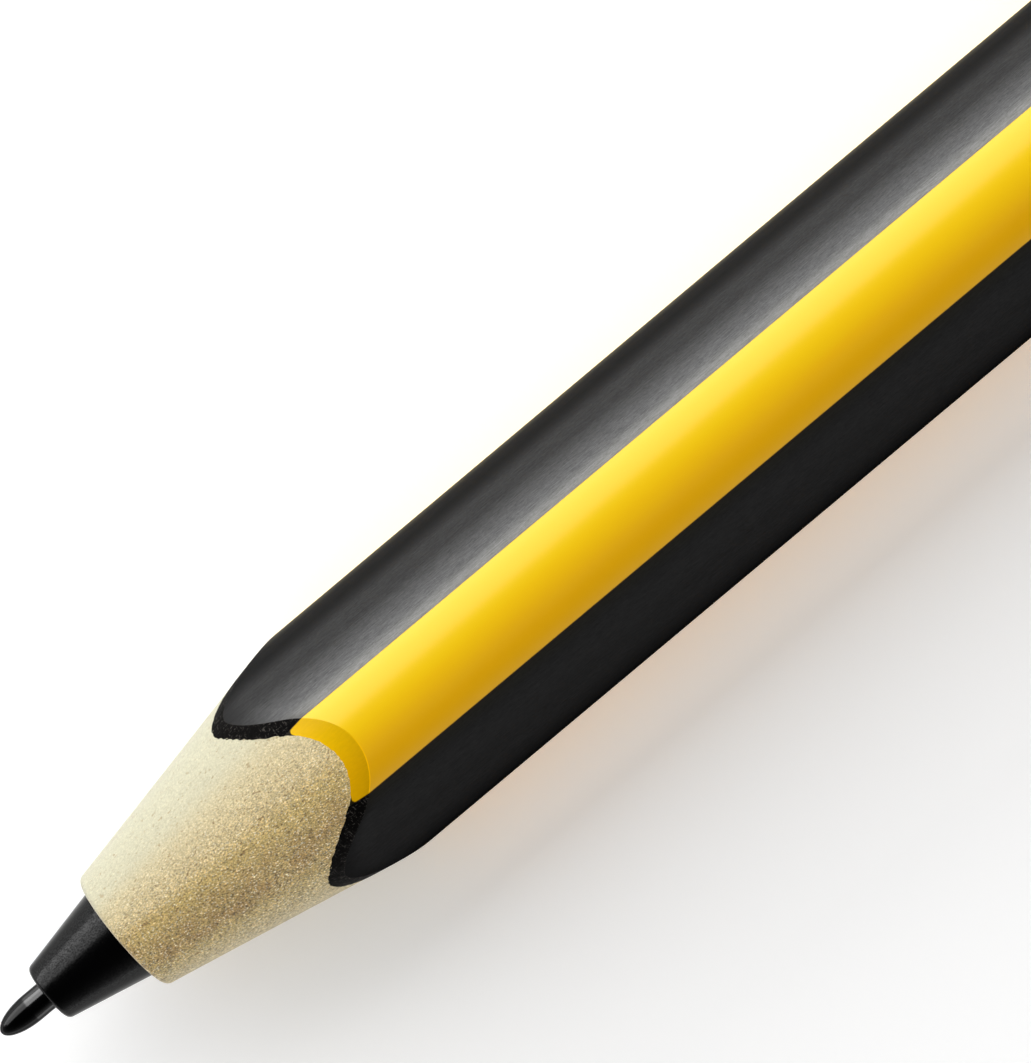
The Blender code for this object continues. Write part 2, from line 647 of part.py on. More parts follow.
def sensing_module(prefix, end):
    """The ferrite, coil and pressure sensor behind one end of the pencil."""
    ferrite_end = FERRITE_SEAT - SEAT_GAP
    rod = prefix + "_ferrite_core"
    tube(rod, FERRITE_START, ferrite_end, FERRITE_RADIUS, FERRITE_BORE_RADIUS, end, ferrite())
    winding = FERRITE_RADIUS + BOND_GAP
    tube(prefix + "_coil", COIL_START, COIL_END, COIL_RADIUS, winding, end, copper())
    sensor_case(prefix, end)
    holder(prefix, end)
    contact_pad(prefix, end)
    return_spring(prefix, end)
    disc_end = DISC_START + DISC_THICKNESS
    disc(prefix + "_dielectric_disc", DISC_START, disc_end, DISC_RADIUS, end, ceramic())
    plate_end = PLATE_START + PLATE_THICKNESS
    disc(prefix + "_electrode_plate", PLATE_START, plate_end, DISC_RADIUS, end, brass())
    coil_leads(prefix, end)


def board_carrier():
    """The carrier: a turned blank with a boss at each end, cut open for the board and its leads."""
    end = shop.nib_end
    stop = OVERALL_LENGTH - CARRIER_START
    boss_stop = OVERALL_LENGTH - BOSS_START
    profile = [(BOSS_START, 0.0), (BOSS_START, DISC_RADIUS), (CARRIER_START, DISC_RADIUS)]
    profile += [(CARRIER_START, FITTED_RADIUS), (stop, FITTED_RADIUS), (stop, DISC_RADIUS)]
    profile += [(boss_stop, DISC_RADIUS), (boss_stop, 0.0)]
    carrier = turned("board_carrier", profile, end, natural_nylon())
    window = (WINDOW_START, OVERALL_LENGTH - WINDOW_START)
    wide = BORE_RADIUS + CUT_OVERRUN
    trough = TROUGH_WIDTH / 2
    slot = BOARD_WIDTH / 2 + SLIDE_GAP
    slot_heights = (LEDGE_HEIGHT, LEDGE_HEIGHT + BOARD_THICKNESS + 2 * SEAT_GAP)
    slot_stations = (WINDOW_START - BOARD_SLOT_DEPTH, window[1] + BOARD_SLOT_DEPTH)
    cut(carrier, block("carrier_window", (LEDGE_HEIGHT, wide), (-wide, wide), window, end))
    cut(carrier, block("carrier_trough", (TROUGH_FLOOR, wide), (-trough, trough), window, end))
    cut(carrier, block("carrier_slots", slot_heights, (-slot, slot), slot_stations, end))
    cut(carrier, lead_groove("carrier_groove", CARRIER_START, stop, end))


def circuit_board():
    """The resonance circuit's board in the carrier's slots, with its capacitors and its chip."""
    end = shop.nib_end
    start = WINDOW_START - BOARD_SLOT_DEPTH + SEAT_GAP
    heights = (LEDGE_HEIGHT + SEAT_GAP, LEDGE_HEIGHT + SEAT_GAP + BOARD_THICKNESS)
    half = BOARD_WIDTH / 2
    stations = (start, OVERALL_LENGTH - start)
    block("circuit_board", heights, (-half, half), stations, end, board_laminate())
    seat = heights[1] + SEAT_GAP
    length, width, height = CAPACITOR_SIZE
    for prefix, frame in (("nib", shop.nib_end), ("eraser", shop.eraser_end)):
        for i in range(CAPACITORS_PER_END):
            place = WINDOW_START + CAPACITOR_SETBACK + i * CAPACITOR_PITCH
            stations = (place, place + length)
            sides = (-width / 2, width / 2)
            name = f"{prefix}_capacitor_{i + 1}"
            block(name, (seat, seat + height), sides, stations, frame, ceramic(), CHIP_EDGE)
    length, width, height = CHIP_SIZE
    middle = OVERALL_LENGTH / 2
    stations = (middle - length / 2, middle + length / 2)
    sides = (-width / 2, width / 2)
    block("tuning_chip", (seat, seat + height), sides, stations, end, black_plastic(), CHIP_EDGE)


def build():
    cone = sharpening_cone()
    barrel_core(cone)
    barrel_coat(cone)
    nib()
    nose_cone()
    eraser()
    end_collar()
    sensing_module("nib", shop.nib_end)
    sensing_module("eraser", shop.eraser_end)
    board_carrier()
    circuit_board()
    for obj in shop.parts.objects:
        if obj.type == "MESH":
            smooth(obj.data)


build()
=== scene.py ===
"""Looks of a pencil-shaped stylus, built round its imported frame.

Lengths are metres. The pencil lies along X with its nib towards -X. A station is a distance from the
nib's tip along the axis, a depth is the same from the eraser's crown, and a bearing is an angle about
the axis, counted from straight up towards +Y.
"""

from __future__ import annotations

import logging
import math
from dataclasses import dataclass, field
from enum import Enum
from typing import Any, Sequence, Union

import bmesh
import bpy
import numpy as np
from mathutils import Matrix, Vector, noise


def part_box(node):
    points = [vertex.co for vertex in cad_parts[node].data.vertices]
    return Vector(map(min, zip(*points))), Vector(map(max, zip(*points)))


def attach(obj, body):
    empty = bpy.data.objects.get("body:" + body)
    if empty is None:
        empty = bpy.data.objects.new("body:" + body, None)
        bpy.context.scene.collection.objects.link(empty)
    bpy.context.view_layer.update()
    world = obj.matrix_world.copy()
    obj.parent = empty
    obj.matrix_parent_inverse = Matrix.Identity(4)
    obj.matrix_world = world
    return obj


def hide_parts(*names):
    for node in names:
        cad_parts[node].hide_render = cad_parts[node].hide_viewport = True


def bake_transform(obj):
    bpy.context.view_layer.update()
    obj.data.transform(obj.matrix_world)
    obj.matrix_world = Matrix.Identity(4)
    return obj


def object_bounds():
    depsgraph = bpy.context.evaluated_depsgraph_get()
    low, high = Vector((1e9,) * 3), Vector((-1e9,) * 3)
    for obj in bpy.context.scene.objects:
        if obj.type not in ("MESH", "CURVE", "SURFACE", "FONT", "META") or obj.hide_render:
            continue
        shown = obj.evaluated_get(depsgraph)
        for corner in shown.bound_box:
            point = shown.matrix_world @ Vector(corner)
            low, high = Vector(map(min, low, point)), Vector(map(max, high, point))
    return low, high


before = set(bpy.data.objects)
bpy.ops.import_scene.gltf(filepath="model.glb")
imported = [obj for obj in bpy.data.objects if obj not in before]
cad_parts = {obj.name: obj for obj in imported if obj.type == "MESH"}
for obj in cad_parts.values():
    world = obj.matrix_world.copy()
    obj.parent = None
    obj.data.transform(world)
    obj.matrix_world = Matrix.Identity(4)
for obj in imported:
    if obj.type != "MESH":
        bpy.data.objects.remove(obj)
CAD_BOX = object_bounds()

MM = 0.001
CORNERS = 3
CORNER_TO_FACE = math.pi / CORNERS
OUTLINE_POINTS = 1201
SHARP_EDGE = math.radians(32.0)
SAME_POINT = 1e-8
CAPS_FROM = 0.97
CAP_PLACES = (0.98, 0.99)
CAP_WIDTH = 0.008
BAKE_MAP = "OFBake"
LOG = logging.getLogger("pencil_stylus")

Colour = tuple[float, float, float]
Amount = Union["Field", float]
Row = tuple[Any, Any]


class Field:
    """A node's output, as a number over the surface that Python expressions can use."""

    def __init__(self, graph: Graph, socket: bpy.types.NodeSocket) -> None:
        """Keeps the socket and the graph that it belongs to."""
        self.graph = graph
        self.socket = socket

    def __add__(self, other: Amount) -> Field:
        """This number plus another."""
        return self.graph.maths("ADD", self, other)

    def __sub__(self, other: Amount) -> Field:
        """This number less another."""
        return self.graph.maths("SUBTRACT", self, other)

    def __rsub__(self, other: Amount) -> Field:
        """Another number less this one."""
        return self.graph.maths("SUBTRACT", other, self)

    def __mul__(self, other: Amount) -> Field:
        """This number times another."""
        return self.graph.maths("MULTIPLY", self, other)

    def __pow__(self, other: Amount) -> Field:
        """This number to a power."""
        return self.graph.maths("POWER", self, other)

    __radd__ = __add__
    __rmul__ = __mul__


class Graph:
    """A node tree that is being filled, for a material or for the world."""

    def __init__(self, tree: bpy.types.NodeTree) -> None:
        """Empties the tree."""
        self.tree = tree
        self.tree.nodes.clear()

    def node(self, kind: str, settings: dict, inputs: dict) -> bpy.types.Node:
        """Adds one node.

        Args:
            kind: the node's type.
            settings: attributes of the node, set before its sockets.
            inputs: a value or a Field for each socket that isn't left alone, by name or number.

        Returns:
            The node.
        """
        node = self.tree.nodes.new(kind)
        for name, value in settings.items():
            setattr(node, name, value)
        for name, value in inputs.items():
            if isinstance(value, Field):
                self.tree.links.new(value.socket, node.inputs[name])
            else:
                node.inputs[name].default_value = value
        return node

    def add(self, kind: str, settings: dict, inputs: dict, output: Union[int, str] = 0) -> Field:
        """Adds one node and takes its output of this name or number."""
        return Field(self, self.node(kind, settings, inputs).outputs[output])

    def maths(self, operation: str, first: Amount, second: Amount) -> Field:
        """Adds a Math node for two numbers."""
        return self.add("ShaderNodeMath", {"operation": operation}, {0: first, 1: second})

    def position(self) -> Field:
        """The place on the piece, in metres."""
        return self.add("ShaderNodeTexCoord", {}, {}, "Object")

    def number(self, name: str) -> Field:
        """A number that the mesh carries at its points."""
        return self.add("ShaderNodeAttribute", {"attribute_name": name}, {}, "Fac")

    def facing(self) -> Field:
        """How far the surface turns away from the eye: 0 where it faces it and 1 at its outline."""
        return self.add("ShaderNodeLayerWeight", {}, {"Blend": 0.5}, "Facing")

    def part(self, vector: Field, axis: str) -> Field:
        """One coordinate of a vector."""
        return self.add("ShaderNodeSeparateXYZ", {}, {0: vector}, axis)

    def grains(self, size: float, along: float = 1.0, detail: float = 1.0, shift: float = 0.0) -> Field:
        """Noise from 0 to 1 over the piece.

        Args:
            size: about how wide one grain is.
            along: how many times longer it is along the pencil.
            detail: how many finer octaves it has.
            shift: moves the pattern, so that two of one size differ.

        Returns:
            The noise.
        """
        scale = (1 / size / along, 1 / size, 1 / size)
        settings = {"operation": "MULTIPLY_ADD"}
        inputs = {0: self.position(), 1: scale, 2: (shift, shift, shift)}
        place = self.add("ShaderNodeVectorMath", settings, inputs)
        inputs = {"Vector": place, "Scale": 1.0, "Detail": detail, "Roughness": 0.55}
        return self.add("ShaderNodeTexNoise", {}, inputs, "Fac")

    def between(self, value: Field, low: float, high: float) -> Field:
        """A smooth step.

        Args:
            value: what it follows.
            low: the value where it leaves 0.
            high: the value where it reaches 1.

        Returns:
            The step, from 0 to 1.
        """
        settings = {"interpolation_type": "SMOOTHSTEP"}
        inputs = {"Value": value, "From Min": low, "From Max": high}
        return self.add("ShaderNodeMapRange", settings, inputs)

    def mix(self, share: Amount, first: Any, second: Any) -> Field:
        """Mixes two colours.

        Args:
            share: how much of the second there is, from 0 to 1.
            first: a colour, or a Field of one.
            second: the same.

        Returns:
            The mixed colour.
        """
        colours = [c if isinstance(c, Field) else (*c, 1.0) for c in (first, second)]
        inputs = {0: share, 6: colours[0], 7: colours[1]}
        return self.add("ShaderNodeMix", {"data_type": "RGBA"}, inputs, 2)

    def scaled(self, colour: Union[Field, Colour], share: Amount) -> Field:
        """A colour made lighter or darker."""
        return self.add("ShaderNodeVectorMath", {"operation": "SCALE"}, {0: colour, "Scale": share})

    def bump(self, height: Field, depth: float) -> Field:
        """A normal bent by a height from 0 to 1 that stands for this depth."""
        return self.add("ShaderNodeBump", {}, {"Height": height, "Distance": depth}, "Normal")

    def coated(self, sockets: dict) -> None:
        """Ends a material's tree in a Principled shader with these sockets."""
        self.end("ShaderNodeOutputMaterial", self.add("ShaderNodeBsdfPrincipled", {}, sockets))

    def end(self, kind: str, shader: Field) -> None:
        """Ends a material's or the world's tree in this shader."""
        self.node(kind, {}, {"Surface": shader})


class Finish:
    """A named finish. Each kind paints its own node tree."""

    name: str

    def paint(self, graph: Graph) -> None:
        """Fills the material's tree."""
        raise NotImplementedError

    def material(self) -> bpy.types.Material:
        """The finish as a material, made once.

        Returns:
            The material.
        """
        made = bpy.data.materials.get(self.name)
        if made is None:
            made = bpy.data.materials.new(self.name)
            made.use_nodes = True
            self.paint(Graph(made.node_tree))
        return made


@dataclass(frozen=True)
class WoodFibre(Finish):
    """The sharpened core: pale pressed wood fibre with a sandy grain, specks and a torn rim, and painted
    light and shade across its flanks.
    """

    name: str = "sharpened_wood_fibre"
    pale: Colour = (0.625, 0.488, 0.241)
    warm: Colour = (0.555, 0.405, 0.143)
    # toasted brown: real by the front edge, and painted shade in a band on the -Y flank
    toast_and_painted_shade: Colour = (0.42, 0.26, 0.08)
    # painted light: the pale tone laid on the flank that the key lamp lights
    painted_light_pale: Colour = (0.505, 0.491, 0.358)
    speck: Colour = (0.28, 0.17, 0.06)
    chip: Colour = (0.86, 0.80, 0.60)
    grain: float = 0.06 * MM
    clump: float = 0.25 * MM
    crack: float = 0.15 * MM
    patch: float = 2.5 * MM
    blotch: float = 0.7 * MM
    rim: float = 0.07 * MM
    relief: float = 0.022 * MM

    def paint(self, graph: Graph) -> None:
        """Mixes the tones, among them painted light and shade, with the grain, dark cracks and pale chips,
        and raises the grain.

        Args:
            graph: the material's graph.
        """
        grain = graph.grains(self.grain, 1.5, 1.5)
        clumps = graph.grains(self.clump, 1.3, 1.0, 3.7)
        patches = graph.grains(self.patch, 1.0, 1.0, 8.1)
        blotches = graph.between(graph.grains(self.blotch, 1.4, 1.0, 15.3), 0.35, 0.65)
        pores = graph.between(graph.grains(self.grain * 1.2, 2.2, 1.0, 21.0), 0.58, 0.72)
        cracks = graph.between(graph.grains(self.crack, 1.8, 1.0, 47.0), 0.66, 0.74)
        chips = graph.between(graph.grains(self.grain, 1.6, 1.0, 34.0), 0.56, 0.70)
        # grain contrast: real grain, made stronger on the shaded -Y flank as painted shading of the grain and
        # weaker on the lit +Y flank
        coarse = graph.number("coarse")
        torn = 1.0 - graph.between(graph.number("rim"), 0.0, self.rim)
        colour = graph.mix(graph.number("warmed") * (0.55 + 0.9 * patches), self.pale, self.warm)
        # toasted brown by the front edge, and painted shade where the key lamp's light ends on the -Y flank
        colour = graph.mix(graph.number("toast_and_painted_shade") * (0.25 + 0.5 * blotches), colour, self.toast_and_painted_shade)
        # painted light: the lit +Y flank is mixed paler
        colour = graph.mix(graph.number("painted_light_pale"), colour, self.painted_light_pale)
        colour = graph.mix(graph.maths("MAXIMUM", chips * coarse * 0.6, torn * 0.6), colour, self.chip)
        dark = graph.maths("MAXIMUM", pores * coarse * 0.7, cracks * (0.35 + 0.4 * coarse))
        colour = graph.mix(dark, colour, self.speck)
        shade = (grain - 0.5) * 2.0 + (clumps - 0.5) * 0.55
        colour = graph.scaled(colour, 1.0 + coarse * shade)
        height = (grain * 0.6 + clumps * 0.2 + chips * 0.2 - cracks * 0.3) * (0.5 + 0.5 * coarse)
        graph.coated({
            "Base Color": colour,
            "Roughness": 0.62 + 0.2 * grain,
            "Specular IOR Level": 0.4,
            "Sheen Weight": 0.25,
            "Sheen Roughness": 0.5,
            "Normal": graph.bump(height, self.relief),
        })


@dataclass(frozen=True)
class BlackCoat(Finish):
    """The satin black coat on the faces, hazed along the pencil by fine scratches."""

    name: str = "black_coat_satin"
    black: Colour = (0.0035, 0.0035, 0.0037)
    # yellow bleed by the edges, which on the handled face also stands for a painted rim highlight
    stain_and_painted_rim_light: Colour = (0.015, 0.014, 0.010)
    rubbed_off: Colour = (0.06, 0.035, 0.006)
    scratch: float = 0.045 * MM
    stain: float = 0.9 * MM
    seam: float = 0.05 * MM
    relief: float = 0.002 * MM
    worn_from: float = 0.6 * MM
    worn_full: float = 2.0 * MM
    haze_index: float = 1.3
    haze_starts: float = 0.82
    haze_full: float = 0.1
    haze_ahead: float = 1.0
    ahead_ends: tuple[float, float] = (0.06, 0.26)
    in_place: bool = False
    grazing: float = 0.0

    def paint(self, graph: Graph) -> None:
        """Scratches the haze, lets the stripe's yellow bleed into the edges and paints a rim light along
        them.

        Args:
            graph: the material's graph.
        """
        scratches = graph.grains(self.scratch, 12.0, 2.0)
        specks = graph.grains(self.scratch, 2.5, 1.0, 5.5)
        border = graph.number("border")
        stain = 1.0 - graph.between(border, 0.0, self.stain)
        seam = 1.0 - graph.between(border + (specks - 0.5) * self.seam, 0.0, self.seam)
        # yellow bleed near the strip's edges, and on the handled face a painted rim highlight along the
        # outline
        colour = graph.mix(stain * 0.9, self.black, self.stain_and_painted_rim_light)
        colour = graph.mix(seam * 0.8, colour, self.rubbed_off)
        facing = graph.number("tilt") if self.in_place else graph.facing()
        aslant = graph.between(facing, *self.ahead_ends)
        haze = 1.0 - graph.between(facing, self.haze_full, self.haze_starts)
        haze = haze * (self.haze_ahead + (1.0 - self.haze_ahead) * aslant)
        worn = 0.5 + 0.5 * graph.between(graph.number("behind"), self.worn_from, self.worn_full)
        texture = (scratches * 0.86 + specks * 0.47) * worn
        graph.coated({
            "Base Color": colour,
            "Roughness": 0.42 + 0.2 * scratches,
            "Specular IOR Level": self.grazing,
            "Coat Weight": haze * texture,
            "Coat Roughness": 0.38,
            "Coat IOR": self.haze_index,
            "Normal": graph.bump(scratches * 0.6 + specks * 0.4, self.relief),
        })


@dataclass(frozen=True)
class YellowCoat(Finish):
    """The smooth yellow coat on the rounded corners, with the black run over its front corners, painted
    lighter on the lit +Y side and deeper orange on the shaded -Y side.
    """

    name: str = "yellow_coat_gloss"
    # painted light and shade: lemon for the lit +Y side, deeper orange for the shaded -Y side
    painted_lit_lemon: Colour = (0.845, 0.55, 0.0)
    deep: Colour = (0.865, 0.441, 0.0)
    black: Colour = (0.012, 0.009, 0.003)
    rubbed: Colour = (0.25, 0.12, 0.004)
    ripple: float = 0.5 * MM
    speck: float = 0.07 * MM
    corner: float = 0.45 * MM
    seam: float = 0.04 * MM
    relief: float = 0.0005 * MM
    roughness: float = 0.3
    gloss: float = 0.85
    gloss_ahead: float = 0.4
    ahead_ends: tuple[float, float] = (0.004, 0.05)
    tone_reach: float = 1.2 * MM
    # where the painted highlight along the cut's outer edge starts and is full
    painted_highlight_starts: float = 0.93
    painted_highlight_full: float = 0.98
    hatched: float = 0.0

    def paint(self, graph: Graph) -> None:
        """Ripples the yellow, paints its light and shade, hatches it where it is cut and rounds off its front
        corners.

        Args:
            graph: the material's graph.
        """
        ripples = graph.grains(self.ripple, 8.0, 1.0)
        specks = graph.grains(self.speck, 2.0, 1.0, 4.4)
        hatch = graph.grains(self.speck, 7.0, 1.0, 9.2)
        border = graph.number("border")
        over = graph.maths("MAXIMUM", self.corner - border, 0.0)
        ahead = graph.maths("MAXIMUM", self.corner - graph.number("behind"), 0.0)
        outside = (over * over + ahead * ahead) ** 0.5 - self.corner
        run_over = graph.between(outside + (specks - 0.5) * self.seam, -0.25 * self.seam, 0.75 * self.seam)
        seam = 1.0 - graph.between(border + (specks - 0.5) * self.seam, 0.0, self.seam)
        # painted light and shade: lemon towards +Y, deeper orange towards -Y
        aside = graph.part(graph.position(), "Y") + (ripples - 0.5) * self.ripple
        painted_lit_lemon = graph.between(aside, -self.tone_reach, self.tone_reach)
        outwards = graph.number("share")
        # painted highlight: a bright line along the cut's outer edge, on the -Y side
        painted_edge_highlight = graph.between(outwards, self.painted_highlight_starts, self.painted_highlight_full) * (1.0 - painted_lit_lemon) * self.hatched
        colour = graph.mix(painted_lit_lemon, self.deep, self.painted_lit_lemon)
        # hatch marks, painted shade growing towards the cut's outer edge, and the painted highlight along it
        colour = graph.scaled(colour, 1.0 - self.hatched * (hatch * 0.5 + outwards * 0.6 - 0.25) + painted_edge_highlight * 2.4)
        colour = graph.mix(seam * 0.6, colour, self.rubbed)
        colour = graph.mix(run_over, colour, self.black)
        aslant = graph.between(graph.facing(), *self.ahead_ends)
        graph.coated({
            "Base Color": colour,
            "Roughness": self.roughness + 0.05 * ripples,
            "Specular IOR Level": 0.0,
            "Coat Weight": self.gloss * (self.gloss_ahead + (1.0 - self.gloss_ahead) * aslant),
            "Coat Roughness": self.roughness,
            "Normal": graph.bump(ripples * (1.0 - self.hatched) + hatch * self.hatched, self.relief),
        })


@dataclass(frozen=True)
class CutBlack(Finish):
    """The black coat where the sharpener cut it: dark, with ridges round it and notches along it, and painted
    grey highlights on the ridges and the outer edge.
    """

    name: str = "black_coat_cut"
    black: Colour = (0.0015, 0.0013, 0.0011)
    # painted highlight: the grey laid on the ridges and along the outer edge
    torn: Colour = (0.05, 0.045, 0.04)
    notch: float = 0.06 * MM
    relief: float = 0.03 * MM
    painted_highlight_starts: float = 0.93

    def paint(self, graph: Graph) -> None:
        """Ridges and notches the cut, and paints grey highlights on the ridges and in dots along its outer
        edge.

        Args:
            graph: the material's graph.
        """
        notches = graph.grains(self.notch, 5.0, 1.0)
        ridges = graph.grains(self.notch * 5, 0.2, 1.0, 3.3)
        crumbs = graph.grains(self.notch * 0.8, 1.0, 1.0, 6.0)
        height = graph.maths("MAXIMUM", notches, ridges) * 0.7 + crumbs * 0.3
        by_edge = graph.between(graph.number("share"), self.painted_highlight_starts, 1.0)
        painted_edge_highlight = by_edge * graph.between(crumbs, 0.5, 0.62)
        # painted highlight: grey on the ridges' tops and in dots along the outer edge
        torn = graph.maths("MAXIMUM", graph.between(height, 0.58, 0.7), painted_edge_highlight * 0.8)
        graph.coated({
            "Base Color": graph.mix(torn, self.black, self.torn),
            "Roughness": 0.4 + 0.3 * crumbs,
            "Specular IOR Level": 0.03,
            "Normal": graph.bump(height, self.relief),
        })


@dataclass(frozen=True)
class Moulded(Finish):
    """A moulded plastic or rubber with an even fine grain."""

    name: str
    colour: Colour
    roughness: float
    grain: float = 0.06 * MM
    relief: float = 0.002 * MM
    shine: float = 0.5
    mottle: float = 0.15
    drawn: float = 1.0
    polish: float = 0.0
    polish_index: float = 1.8
    polish_fades: tuple[float, float] = (0.3, 0.6)
    speckle: float = 0.0
    worn_to: float = -1.0
    worn_fade: float = 0.12 * MM

    def paint(self, graph: Graph) -> None:
        """Grains the surface, varies its colour and gloss a little and lays on any polish.

        Args:
            graph: the material's graph.
        """
        grain = graph.grains(self.grain, self.drawn, 2.0)
        cloud = graph.grains(self.grain * 12, 2.0, 1.0, 7.0)
        sockets = {
            "Base Color": graph.scaled(self.colour, 1.0 + self.mottle * (grain + cloud - 1.0)),
            "Roughness": self.roughness + 0.12 * (grain - 0.5) + 0.08 * (cloud - 0.5),
            "Specular IOR Level": self.shine,
            "Normal": graph.bump(grain, self.relief),
        }
        if self.polish:
            sockets["Coat Weight"] = self.polished(graph, grain)
            sockets["Coat Roughness"] = self.roughness
            sockets["Coat IOR"] = self.polish_index
        graph.coated(sockets)

    def polished(self, graph: Graph, grain: Field) -> Field:
        """How far the surface is polished: less where it is worn, and not towards its outline.

        Args:
            graph: the material's graph.
            grain: the surface's grain, which speckles the polish.

        Returns:
            The polish's weight.
        """
        polish = self.polish + self.polish * self.speckle * (2.0 * graph.between(grain, 0.35, 0.65) - 1.0)
        place = graph.part(graph.position(), "X")
        unworn = graph.between(place, self.worn_to - self.worn_fade, self.worn_to)
        ahead = 1.0 - graph.between(graph.facing(), *self.polish_fades)
        return polish * (0.3 + 0.7 * unworn) * ahead


@dataclass(frozen=True)
class Metal(Finish):
    """A drawn or wound metal, with lines across the pencil at a given pitch."""

    name: str
    colour: Colour
    tarnish: Colour
    roughness: float
    pitch: float
    relief: float = 0.01 * MM

    def paint(self, graph: Graph) -> None:
        """Rounds each line of the winding or drawing marks and tarnishes the metal in patches.

        Args:
            graph: the material's graph.
        """
        turns = graph.part(graph.position(), "X") * (2 * math.pi / self.pitch)
        lines = graph.maths("SINE", turns, 0.0) * 0.5 + 0.5
        patches = graph.grains(6 * self.pitch, 1.0, 2.0)
        graph.coated({
            "Base Color": graph.mix(graph.between(patches, 0.4, 0.7), self.colour, self.tarnish),
            "Roughness": self.roughness + 0.15 * patches,
            "Metallic": 1.0,
            "Normal": graph.bump(lines, self.relief),
        })


@dataclass(frozen=True)
class Laminate(Finish):
    """A circuit board's green resist over its glass weave."""

    name: str = "board_green_resist"
    resist: Colour = (0.015, 0.12, 0.045)
    weave: Colour = (0.03, 0.2, 0.08)
    thread: float = 0.4 * MM

    def paint(self, graph: Graph) -> None:
        """Crosses the weave's threads under the resist.

        Args:
            graph: the material's graph.
        """
        place = graph.position()
        turn = 2 * math.pi / self.thread
        warp = graph.maths("SINE", graph.part(place, "X") * turn, 0.0)
        weft = graph.maths("SINE", graph.part(place, "Y") * turn, 0.0)
        crossed = warp * weft * 0.5 + 0.5
        graph.coated({
            "Base Color": graph.mix(crossed, self.resist, self.weave),
            "Roughness": 0.3 + 0.15 * crossed,
            "Normal": graph.bump(crossed, self.thread / 100),
        })


@dataclass(frozen=True)
class Axis:
    """The pencil's axis, from the nib's tip to the eraser's crown."""

    tip: float
    crown: float
    height: float

    @classmethod
    def of_frame(cls) -> Axis:
        """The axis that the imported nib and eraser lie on."""
        low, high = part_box("nib")
        return cls(low.x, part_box("eraser_head")[1].x, (low.z + high.z) / 2)

    def span(self, node: str) -> tuple[float, float, float]:
        """A CAD node's first and last stations, and half its height."""
        low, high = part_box(node)
        return low.x - self.tip, high.x - self.tip, (high.z - low.z) / 2

    def depths(self, node: str) -> tuple[float, float, float]:
        """A CAD node's first and last depths, and half its height."""
        low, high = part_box(node)
        return self.crown - high.x, self.crown - low.x, (high.z - low.z) / 2

    def from_crown(self, rows: Sequence[Row]) -> list[Row]:
        """A profile's rows with stations in place of depths."""
        return [(self.crown - self.tip - depth, radius) for depth, radius in rows]

    def points(self, stations: np.ndarray, ups: np.ndarray, sides: np.ndarray) -> np.ndarray:
        """Places in the frame, from stations and offsets from the axis."""
        return np.stack((self.tip + stations, sides, self.height + ups), axis=-1)


@dataclass(frozen=True)
class Section:
    """A soft triangle about the axis: rounded corners, arched shoulders and a flat in each face."""

    arc_centre: float
    arc_radius: float
    face_reach: float
    flat_half_width: float

    def under(self, on_face: float, on_corner: float) -> Section:
        """The section that lies this far under the middle of the faces and of the corners."""
        arc_radius = self.arc_radius - on_corner
        return Section(self.arc_centre, arc_radius, self.face_reach - on_face, self.flat_half_width)

    def shoulder(self) -> tuple[float, float]:
        """The arc between a corner and a flat.

        Returns:
            Its radius, and the direction it starts in, counted from the corner's own.
        """
        rise = self.face_reach - self.arc_centre * math.cos(CORNER_TO_FACE)
        spread = self.arc_centre * math.sin(CORNER_TO_FACE) - self.flat_half_width
        radius = (rise**2 + spread**2 - self.arc_radius**2) / (rise - self.arc_radius) / 2
        return radius, CORNER_TO_FACE - math.atan2(spread, radius - rise)

    def by_corner(self, corner: int, normals: np.ndarray) -> np.ndarray:
        """Points of the outline by one corner.

        Args:
            corner: which corner, counted from the top one towards +Y.
            normals: the directions that the outline faces there, counted from the corner's own.

        Returns:
            A row of (up, side) for each direction.
        """
        shoulder_radius, start = self.shoulder()
        inset = self.face_reach - shoulder_radius
        along = inset * math.cos(CORNER_TO_FACE) + self.flat_half_width * math.sin(CORNER_TO_FACE)
        across = inset * math.sin(CORNER_TO_FACE) - self.flat_half_width * math.cos(CORNER_TO_FACE)
        on_corner = np.abs(normals) < start
        radius = np.where(on_corner, self.arc_radius, shoulder_radius)
        along = np.where(on_corner, self.arc_centre, along) + radius * np.cos(normals)
        across = np.where(on_corner, 0.0, across * np.sign(normals)) + radius * np.sin(normals)
        turn = 2 * CORNER_TO_FACE * corner
        ups = along * math.cos(turn) - across * math.sin(turn)
        sides = along * math.sin(turn) + across * math.cos(turn)
        return np.stack((ups, sides), axis=-1)

    def reach(self, bearings: np.ndarray) -> np.ndarray:
        """How far the outline lies from the axis.

        Args:
            bearings: where on the outline.

        Returns:
            The distances.
        """
        outline = self.by_corner(0, np.linspace(-CORNER_TO_FACE, CORNER_TO_FACE, OUTLINE_POINTS))
        around = np.arctan2(outline[:, 1], outline[:, 0])
        aside = (bearings + CORNER_TO_FACE) % (2 * CORNER_TO_FACE) - CORNER_TO_FACE
        on_arcs = np.interp(aside, around, np.linalg.norm(outline, axis=1))
        on_flat = self.face_reach / np.cos(CORNER_TO_FACE - np.abs(aside))
        return np.where(np.abs(aside) < around[-1], on_arcs, on_flat)


def placed(name: str, data: bpy.types.ID) -> bpy.types.Object:
    """Puts a new object in the scene.

    Args:
        name: the object's name.
        data: its mesh, light or camera.

    Returns:
        The object.
    """
    made = bpy.data.objects.new(name, data)
    bpy.context.scene.collection.objects.link(made)
    return made


def all_round(steps: int) -> np.ndarray:
    """Even angles round a whole turn."""
    return 2 * math.pi * np.arange(steps) / steps


